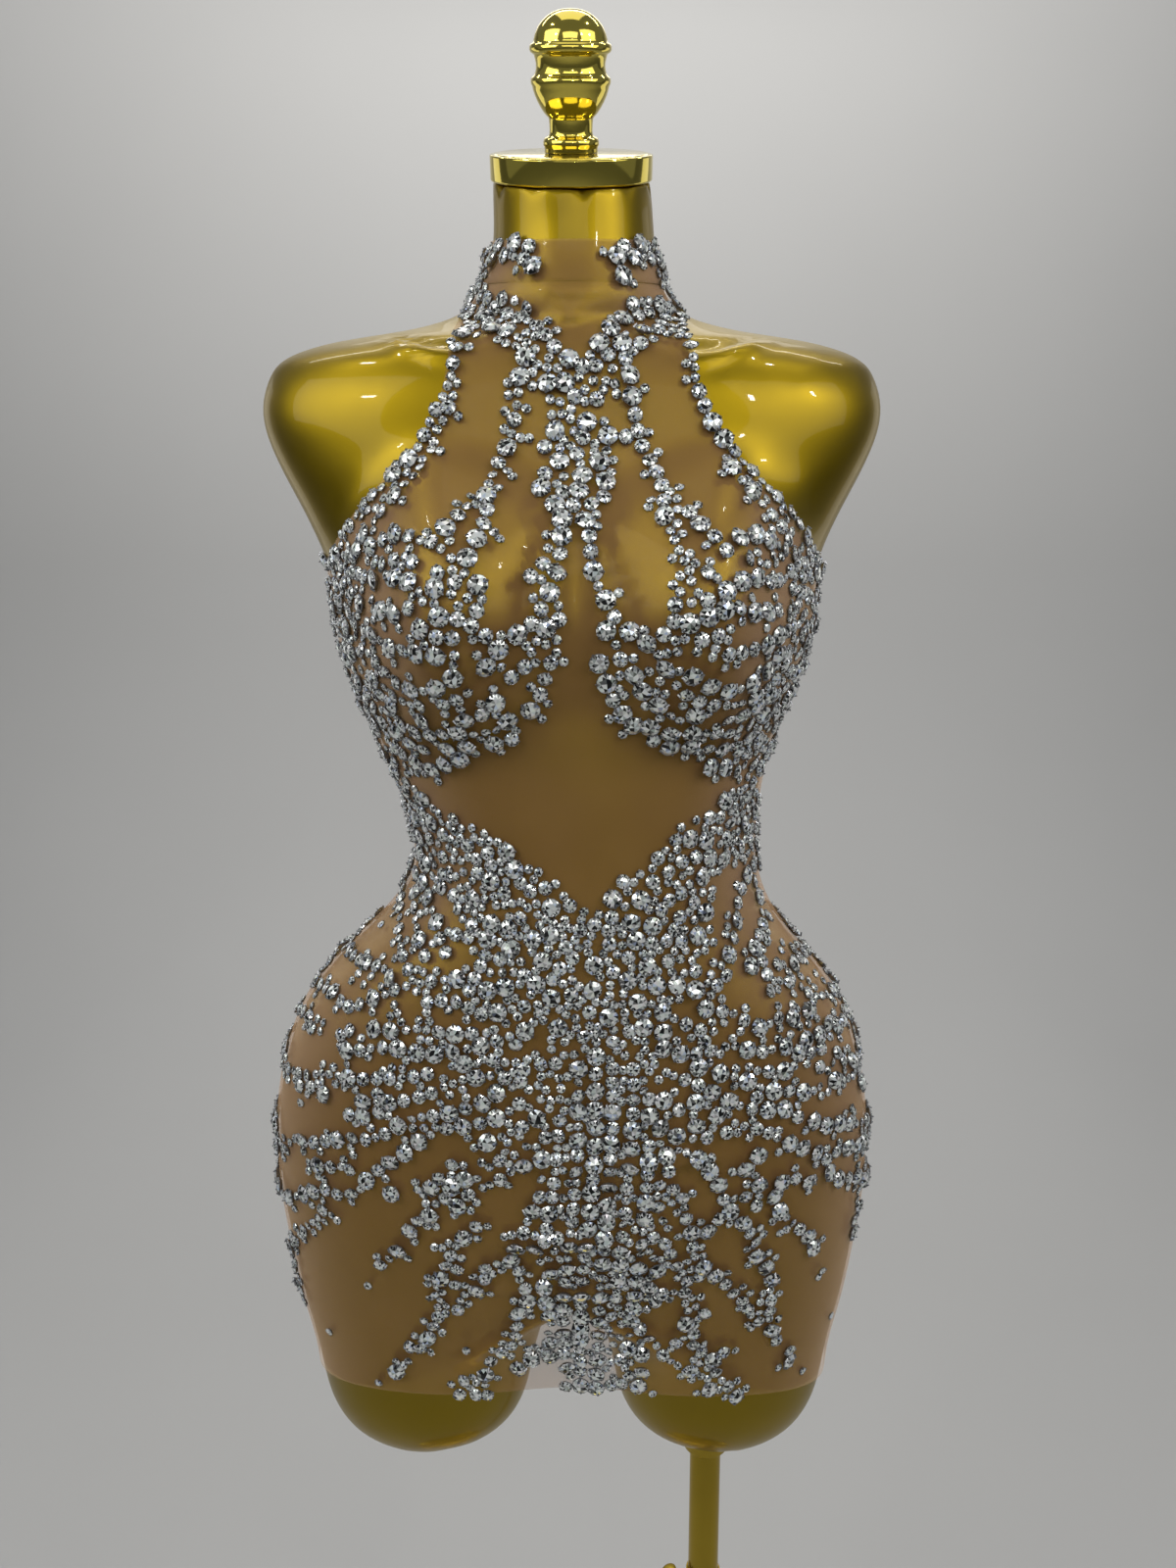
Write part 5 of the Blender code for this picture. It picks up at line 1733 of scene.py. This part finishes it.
class StoneLayout:
    """Lays stones on the cloth and keeps them clear of each other.

    Each room is the share of two stones' radii that stays between their middles.
    """

    middle: float = 590.0
    nudge: float = 1.5
    nudges: int = 12
    wrap_rise: float = 0.15
    wrap_steps: int = 24
    slope_points: int = 6
    jitter: float = 0.35
    row_room: float = 0.84
    beside_room: float = 0.95
    beside_reach: float = 1.02
    beside_lean: float = 0.7
    patch_room: float = 0.88
    scatter_room: float = 1.0
    crowd_room: float = 0.88
    crowd_chance: float = 0.5
    crowd_tries: int = 3
    crowd_shares: tuple[float, float, float] = (0.10, 0.34, 0.56)
    sized_share: float = 0.6

    def __init__(self, cloth: BVHTree, camera: PhotoCamera, seed: int = 20) -> None:
        """Start with no stones.

        Args:
            cloth: the outer faces of the dress.
            camera: the photograph's viewpoint.
            seed: the start of the random draws.
        """
        self.cloth = cloth
        self.camera = camera
        self.draw = random.Random(seed)
        self.stones: list[tuple[Vector, Vector, StoneSize]] = []
        self.cells: dict[tuple[int, int, int], list[int]] = defaultdict(list)
        self.cell = 2 * StoneSize.LARGE.value * MM

    def see(self, pixel: Pixel, behind: bool = False) -> Spot | None:
        """Where a pixel's line of sight meets the cloth, or just inside the outline if it passes beside it.

        Args:
            pixel: the pixel.
            behind: look from behind.

        Returns:
            The point and its outward direction, or None if the cloth is too far away.
        """
        eye = self.camera.eye(behind)
        x = pixel[0]
        for _ in range(self.nudges):
            hit, normal, _, _ = self.cloth.ray_cast(eye, self.camera.ray((x, pixel[1]), behind))
            if hit is not None:
                return hit, normal
            x += self.nudge if x < self.middle else -self.nudge
        return None

    def round_back(self, start: Vector, slope: float, length: float) -> list[Spot]:
        """Spots that go on from a point at the side, round the body towards the back.

        Args:
            start: the point at the side.
            slope: how far the row drops for each millimetre that it goes round.
            length: how far it goes round, in metres.

        Returns:
            The spots, from the farthest to the nearest.
        """
        side = 1.0 if start.x > 0 else -1.0
        angle = math.atan2(start.y, side * start.x)
        radius = math.hypot(start.x, start.y)
        spots: list[Spot] = []
        for k in range(self.wrap_steps, 0, -1):
            gone = length * k / self.wrap_steps
            turn = angle + gone / radius
            out = Vector((side * math.cos(turn), math.sin(turn), 0.0))
            origin = Vector((0.0, 0.0, start.z - slope * gone))
            hit, normal, _, _ = self.cloth.ray_cast(origin, out)
            if hit is not None:
                spots.append((hit, facing(normal, out)))
        return spots

    def crowded(self, point: Vector, radius: float, room: float) -> bool:
        """Whether a stone would lie over one that is already there.

        Args:
            point: its middle.
            radius: its radius, in metres.
            room: the share of the two radii that stays between neighbours.

        Returns:
            Whether it would.
        """
        home = [int(c // self.cell) for c in point]
        for i in (-1, 0, 1):
            for j in (-1, 0, 1):
                for k in (-1, 0, 1):
                    for index in self.cells.get((home[0] + i, home[1] + j, home[2] + k), ()):
                        other, _, size = self.stones[index]
                        if (other - point).length < (radius + size.value * MM) * room:
                            return True
        return False

    def put(self, spot: Spot, size: StoneSize, room: float) -> bool:
        """Lay one stone if there is room.

        Args:
            spot: its point and outward direction.
            size: its size.
            room: the share of the two radii that stays between neighbours.

        Returns:
            Whether it was laid.
        """
        point, normal = spot
        if self.crowded(point, size.value * MM, room):
            return False
        self.cells[tuple(int(c // self.cell) for c in point)].append(len(self.stones))
        self.stones.append((point.copy(), normal.copy(), size))
        return True

    def pick(self, shares: tuple[float, float, float]) -> StoneSize:
        """Draw a size by its chances."""
        return self.draw.choices(list(StoneSize), weights=shares)[0]

    def lay_row(self, row: Row, mirror: float | None = None) -> None:
        """Lay a row of stones, and small ones beside it.

        Args:
            row: the row.
            mirror: the sum of a pixel's x and its mirror image's, where the row is drawn mirrored.
        """
        line = row.line if mirror is None else mirrored(row.line, mirror)
        seen = [self.see(pixel, row.behind) for pixel in smooth_line(line)]
        spots = [spot for spot in seen if spot is not None]
        if not spots:
            return
        if row.wrap and len(spots) > self.slope_points:
            start, inner = spots[0][0], spots[self.slope_points][0]
            fall = (inner.z - start.z) / max((start - inner).length, MM)
            slope = max(-self.wrap_rise, min(self.wrap_rise, fall))
            spots = self.round_back(start, slope, row.wrap * MM) + spots
        gone, due, before = 0.0, 0.0, spots[0][0]
        size = self.pick(row.shares)
        for point, normal in spots:
            gone += (point - before).length
            before = point
            if gone < due:
                continue
            jitter = Vector([self.draw.uniform(-self.jitter, self.jitter) * MM for _ in range(3)])
            if not self.put((point + jitter, normal), size, self.row_room):
                continue
            self.lay_beside((point, normal), spots[-1][0] - spots[0][0], size, row.beside)
            laid, size = size, self.pick(row.shares)
            due = gone + (laid.value + size.value + row.gap) * MM

    def put_near(self, spot: Spot, near: Vector, size: StoneSize, room: float) -> None:
        """Lay a stone where the cloth is nearest to a point, if there is room.

        Args:
            spot: the point and outward direction of the stone that gets company.
            near: the point.
            size: the new stone's size.
            room: the share of the two radii that stays between neighbours.
        """
        hit, face, _, _ = self.cloth.find_nearest(near)
        if hit is not None:
            self.put((hit, facing(face, spot[1])), size, room)

    def lay_beside(self, spot: Spot, heading: Vector, size: StoneSize, chance: float) -> None:
        """Lay small stones on either side of one in a row.

        Args:
            spot: the row's stone, as a point and its outward direction.
            heading: the direction from the row's start to its end.
            size: the size of the row's stone.
            chance: the chance of a small stone on each side.
        """
        point, normal = spot
        small = StoneSize.SMALL
        for side in (-1.0, 1.0):
            if self.draw.random() > chance:
                continue
            across = normal.cross(heading).normalized() * side
            lean = heading.normalized() * self.draw.uniform(-self.beside_lean, self.beside_lean)
            reach = (size.value + small.value) * MM * self.beside_reach
            self.put_near(spot, point + (across + lean).normalized() * reach, small, self.beside_room)

    def crowd(self) -> None:
        """Press more stones against those that are there, so that strands grow ragged and close."""
        for point, normal, size in list(self.stones):
            side = normal.orthogonal().normalized()
            for _ in range(self.crowd_tries):
                if self.draw.random() > self.crowd_chance:
                    continue
                new = self.pick(self.crowd_shares)
                turn = Matrix.Rotation(self.draw.uniform(0.0, 2 * math.pi), 3, normal)
                near = point + turn @ side * (size.value + new.value) * MM * self.crowd_room
                self.put_near((point, normal), near, new, self.crowd_room)

    def fill(self, patch: Patch, mirror: float | None = None) -> None:
        """Fill a patch: every dart that lands in it and finds room becomes a stone.

        Args:
            patch: the patch.
            mirror: the sum of a pixel's x and its mirror image's, where the patch is drawn mirrored.
        """
        outline = patch.outline if mirror is None else mirrored(patch.outline, mirror)
        xs, ys = [p[0] for p in outline], [p[1] for p in outline]
        for k in range(patch.darts):
            pixel = (self.draw.uniform(min(xs), max(xs)), self.draw.uniform(min(ys), max(ys)))
            if not inside(pixel, outline):
                continue
            spot = self.see(pixel)
            size = self.pick(patch.shares) if k < self.sized_share * patch.darts else StoneSize.SMALL
            if spot is not None:
                self.put(spot, size, self.patch_room)


def facing(normal: Vector, outwards: Vector) -> Vector:
    """A face's direction, turned round if it doesn't look outwards."""
    return normal if normal.dot(outwards) > 0 else -normal


def mirrored(line: tuple[Pixel, ...], mirror: float) -> tuple[Pixel, ...]:
    """A line's mirror image, where mirror is the sum of a pixel's x and its image's."""
    return tuple((mirror - x, y) for x, y in line)


def inside(pixel: Pixel, outline: tuple[Pixel, ...]) -> bool:
    """Whether a pixel lies inside an outline.

    Args:
        pixel: the pixel.
        outline: the outline's corners in order.

    Returns:
        Whether it does.
    """
    x, y = pixel
    within = False
    for (x0, y0), (x1, y1) in zip(outline, outline[1:] + outline[:1]):
        if (y0 > y) != (y1 > y) and x < x0 + (y - y0) * (x1 - x0) / (y1 - y0):
            within = not within
    return within


@dataclass
class Stonework:
    """All the stones and their settings, joined into a few pieces by height."""

    finishes: Finishes
    layout: StoneLayout
    row_mirror: float = 1174.0
    patch_mirror: float = 1176.0
    tilt: float = 0.13
    brilliant: StoneCut = StoneCut(8, 16, True, 4, 10)
    chip: StoneCut = StoneCut(6, 8, False, 3, 7)
    edging: tuple[str, ...] = ("armhole_edge", "armhole_inner", "neck_side", "collar_top")
    zones: tuple[tuple[str, float], ...] = (("bodice", 1.21), ("hips", 1.0), ("skirt", 0.0))
    # painted reflections on the crystals: tones from near black to white, a faint tint, and a few blue facets
    tones: tuple[float, ...] = (0.02, 0.18, 0.5, 0.8, 1.0)
    glint_tone_shares: tuple[float, ...] = (0.20, 0.12, 0.16, 0.16, 0.36)
    tint: Colour = (0.95, 1.0, 0.97)
    tint_spread: float = 0.03
    blue: Colour = (0.70, 0.82, 1.12)
    blue_share: float = 0.07

    def lay(self) -> None:
        """Lay every row and patch, the fine lines first."""
        for row in ARMHOLE_ROWS.values():
            self.layout.lay_row(row)
            self.layout.lay_row(row, self.row_mirror)
        for rows in (CENTRE_ROWS, LEFT_RAYS, RIGHT_RAYS):
            for row in rows.values():
                self.layout.lay_row(row)
        self.layout.crowd()
        for patch in SIDE_PATCHES.values():
            self.layout.fill(patch)
            self.layout.fill(patch, self.patch_mirror)
        for patch in (*PLAIN_PATCHES.values(), *HEM_PATCHES.values()):
            self.layout.fill(patch)
        for pixel in SCATTER_SPOTS:
            spot = self.layout.see(pixel)
            if spot is not None:
                self.layout.put(spot, StoneSize.SMALL, self.layout.scatter_room)
        for name in self.edging:
            row = replace(ARMHOLE_ROWS[name], behind=True)
            self.layout.lay_row(row)
            self.layout.lay_row(row, self.row_mirror)

    def repeat(self, name: str, part: bpy.types.Mesh, frames: np.ndarray) -> bpy.types.Mesh:
        """Join copies of a small mesh, one at each frame.

        Args:
            name: the new mesh's name.
            part: the mesh to copy.
            frames: 4 by 4 matrices, one for each copy.

        Returns:
            The joined mesh.
        """
        corners = np.array([(*v.co, 1.0) for v in part.vertices])
        points = np.einsum("nij,vj->nvi", frames, corners)[:, :, :3].reshape(-1, 3)
        faces = [tuple(p.vertices) for p in part.polygons]
        joined = bpy.data.meshes.new(name)
        joined.from_pydata(
            points.tolist(), [],
            [tuple(i + n * len(corners) for i in face) for n in range(len(frames)) for face in faces],
        )
        return joined

    def paint_facet_glints(self, mesh: bpy.types.Mesh, seed: int) -> None:
        """Give every facet a painted reflection tone: mostly bright, some grey, a few near black, with a hint
        of colour and a few blue flashes.

        Args:
            mesh: the stones' mesh.
            seed: the start of the random draws.
        """
        draw = np.random.default_rng(seed)
        count = len(mesh.polygons)
        tone = draw.choice(self.tones, size=count, p=self.glint_tone_shares)
        tint = self.tint + draw.normal(0.0, self.tint_spread, size=(count, 3))
        tint[draw.random(count) < self.blue_share] = self.blue
        colours = np.clip(tone[:, None] * tint, 0.0, 1.0)
        layer = mesh.attributes.new(CutGlass.attribute, "FLOAT_COLOR", "FACE")
        layer.data.foreach_set("color", np.hstack([colours, np.ones((count, 1))]).ravel())

    def frame_of(self, stone: tuple[Vector, Vector, StoneSize], cut: StoneCut) -> Matrix:
        """Where a stone stands: its cup on the cloth, turned and tipped a little at random.

        Args:
            stone: its point, outward direction and size.
            cut: its cut.

        Returns:
            The frame that its mesh is placed and scaled by.
        """
        point, normal, size = stone
        draw = self.layout.draw
        radius = size.value * MM
        tip = Vector([draw.gauss(0.0, self.tilt) for _ in range(3)])
        up = (normal + tip).normalized()
        turn = up.to_track_quat("Z", "Y").to_matrix().to_4x4()
        spin = Matrix.Rotation(draw.uniform(0.0, 2 * math.pi), 4, "Z")
        place = Matrix.Translation(point + normal * radius * cut.cup_depth)
        return place @ turn @ spin @ Matrix.Scale(radius, 4)

    def join_parts(self, name: str, parts: list[bpy.types.Mesh], toned: bool) -> bpy.types.Object:
        """Join several meshes into one object.

        Args:
            name: the object's name.
            parts: the meshes.
            toned: whether their facets get tones.

        Returns:
            The object.
        """
        shape = bmesh.new()
        for k, part in enumerate(parts):
            # the crystals' facets get their painted reflection tones here
            if toned:
                self.paint_facet_glints(part, k + len(name))
            shape.from_mesh(part)
        return from_bmesh(name, shape)

    def build(self) -> None:
        """Build the stones and their settings."""
        self.lay()
        LOG.info("stones laid: %d", len(self.layout.stones))
        cuts = {
            StoneSize.LARGE: self.brilliant,
            StoneSize.MEDIUM: self.brilliant,
            StoneSize.SMALL: self.chip,
        }
        templates = {cut: (cut.crystal(), cut.setting()) for cut in (self.brilliant, self.chip)}
        above = math.inf
        for zone, low in self.zones:
            stones = [s for s in self.layout.stones if low <= s[0].z < above]
            above = low
            crystals: list[bpy.types.Mesh] = []
            settings: list[bpy.types.Mesh] = []
            for cut, (crystal, setting) in templates.items():
                frames = [self.frame_of(s, cut) for s in stones if cuts[s[2]] is cut]
                if frames:
                    grid = np.array([[list(line) for line in frame] for frame in frames])
                    crystals.append(self.repeat("crystals", crystal, grid))
                    settings.append(self.repeat("settings", setting, grid))
            piece = self.join_parts(f"crystals_{zone}", crystals, True)
            finish_piece(piece, self.finishes.glass, Body.FORM, smooth=None)
            piece = self.join_parts(f"settings_{zone}", settings, False)
            finish_piece(piece, self.finishes.claws, Body.FORM, smooth=None)


@dataclass(frozen=True)
class SoftBox:
    """One rectangular light."""

    name: str
    place: tuple[float, float, float]
    aim: tuple[float, float, float]
    size: tuple[float, float]
    watts: float
    colour: Colour = (1.0, 0.98, 0.95)

    def build(self) -> None:
        """Make the light."""
        lamp = bpy.data.lights.new(self.name, "AREA")
        lamp.shape = "RECTANGLE"
        lamp.size, lamp.size_y = self.size
        lamp.energy = self.watts
        lamp.color = self.colour
        light = bpy.data.objects.new(self.name, lamp)
        heading = Vector(self.aim) - Vector(self.place)
        turn = heading.to_track_quat("-Z", "Y").to_matrix().to_4x4()
        light.matrix_world = Matrix.Translation(self.place) @ turn
        bpy.context.scene.collection.objects.link(light)


@dataclass
class Studio:
    """A pale floor that sweeps up into a pale wall, and soft lights."""

    wall_y: float = 2.7
    corner: float = 1.4
    corner_steps: int = 12
    half_width: float = 14.0
    front_y: float = -9.0
    top: float = 4.5
    grey: Colour = (0.46, 0.46, 0.455)
    pale_grey: Colour = (0.5, 0.5, 0.495)
    roughness: float = 0.85
    cloud_scale: float = 1.2
    room_light: Colour = (0.80, 0.84, 0.90)
    room_strength: float = 0.2
    lights: tuple[SoftBox, ...] = (
        SoftBox("left_panel", (-1.30, -0.80, 2.15), (0.0, 0.0, 1.35), (1.3, 1.1), 10.5, (1.0, 1.0, 0.97)),
        SoftBox("right_panel", (1.25, -0.90, 2.1), (0.0, 0.0, 1.35), (1.3, 1.1), 7.6, (1.0, 0.98, 0.94)),
        SoftBox("ceiling", (0.0, 0.25, 3.0), (0.0, 0.1, 1.2), (0.9, 1.5), 4.5),
        SoftBox("front_window", (0.0, -2.1, 2.3), (0.0, 0.0, 1.2), (1.6, 0.7), 6.6),
        SoftBox("lamp_left_low", (-1.30, -1.45, 2.45), (0.0, 0.0, 1.3), (0.16, 0.05), 2.6),
        SoftBox("lamp_left_high", (-1.0, -0.35, 2.95), (0.0, 0.0, 1.3), (0.18, 0.04), 2.6),
        SoftBox("lamp_right_low", (1.40, -0.85, 2.35), (0.0, 0.0, 1.3), (0.05, 0.14), 2.4),
        SoftBox("lamp_right_mid", (0.95, -1.45, 2.3), (0.0, 0.0, 1.3), (0.04, 0.12), 2.0),
        SoftBox("lamp_right_high", (0.85, -0.3, 2.9), (0.0, 0.0, 1.3), (0.06, 0.06), 2.0),
        SoftBox("lamp_front", (0.25, -2.1, 1.75), (0.0, 0.0, 1.2), (0.05, 0.05), 1.6),
        SoftBox("left_rim", (-1.65, 1.25, 1.5), (0.0, 0.0, 1.15), (0.7, 1.5), 2.6),
        SoftBox("right_rim", (1.65, 1.25, 1.5), (0.0, 0.0, 1.15), (0.7, 1.5), 2.4),
        SoftBox("back_window", (0.0, 2.3, 3.3), (0.0, 0.0, 1.2), (1.8, 0.7), 5.5),
        SoftBox("wall_wash", (0.0, 1.1, 3.6), (0.0, 2.7, 1.9), (3.4, 0.3), 54.0),
    )

    def build_sweep(self) -> None:
        """The floor and wall as one curved sheet."""
        sweep = bmesh.new()
        line = [(self.front_y, 0.0), (self.wall_y - self.corner, 0.0)]
        for k in range(1, self.corner_steps + 1):
            turn = math.pi / 2 * k / self.corner_steps
            y = self.wall_y - self.corner + self.corner * math.sin(turn)
            line.append((y, self.corner - self.corner * math.cos(turn)))
        line.append((self.wall_y, self.top))
        verts = [sweep.verts.new((-self.half_width, y, z)) for y, z in line]
        edges = [sweep.edges.new(pair) for pair in zip(verts, verts[1:])]
        moved = bmesh.ops.extrude_edge_only(sweep, edges=edges)["geom"]
        side = [g for g in moved if isinstance(g, bmesh.types.BMVert)]
        bmesh.ops.translate(sweep, verts=side, vec=(2 * self.half_width, 0.0, 0.0))
        bmesh.ops.recalc_face_normals(sweep, faces=sweep.faces)
        piece = from_bmesh("studio_sweep", sweep)
        piece.data.shade_smooth()
        paint = Painter("pale_sweep")
        paint.set(Roughness=self.roughness)
        paint.colour(paint.blend(paint.noise(self.cloud_scale), self.grey, self.pale_grey))
        piece.data.materials.append(paint.material)

    def build_world(self) -> None:
        """Dim, even light from all round."""
        world = bpy.data.worlds.new("soft_room")
        world.use_nodes = True
        background = world.node_tree.nodes["Background"]
        background.inputs["Color"].default_value = (*self.room_light, 1.0)
        background.inputs["Strength"].default_value = self.room_strength
        bpy.context.scene.world = world

    def build(self) -> None:
        """Build the studio."""
        bpy.context.scene.view_settings.view_transform = "Standard"
        self.build_sweep()
        self.build_world()
        for light in self.lights:
            light.build()


def corners(bounds: object) -> list[list[float]]:
    """A box's two corners as plain lists of numbers."""
    return [[float(value) for value in corner] for corner in bounds]


def main() -> None:
    """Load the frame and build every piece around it."""
    logging.basicConfig(level=logging.INFO, format="%(name)s: %(message)s")
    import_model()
    camera = PhotoCamera()
    camera.build()
    Studio().build()
    finishes = Finishes()
    DressForm(finishes, camera).build()
    PoleStand(finishes).build()
    cloth = MeshDress(finishes, camera).build()
    BackZip(finishes).build()
    Stonework(finishes, StoneLayout(cloth, camera)).build()
    bpy.context.view_layer.update()


if __name__ == "__main__":
    main()
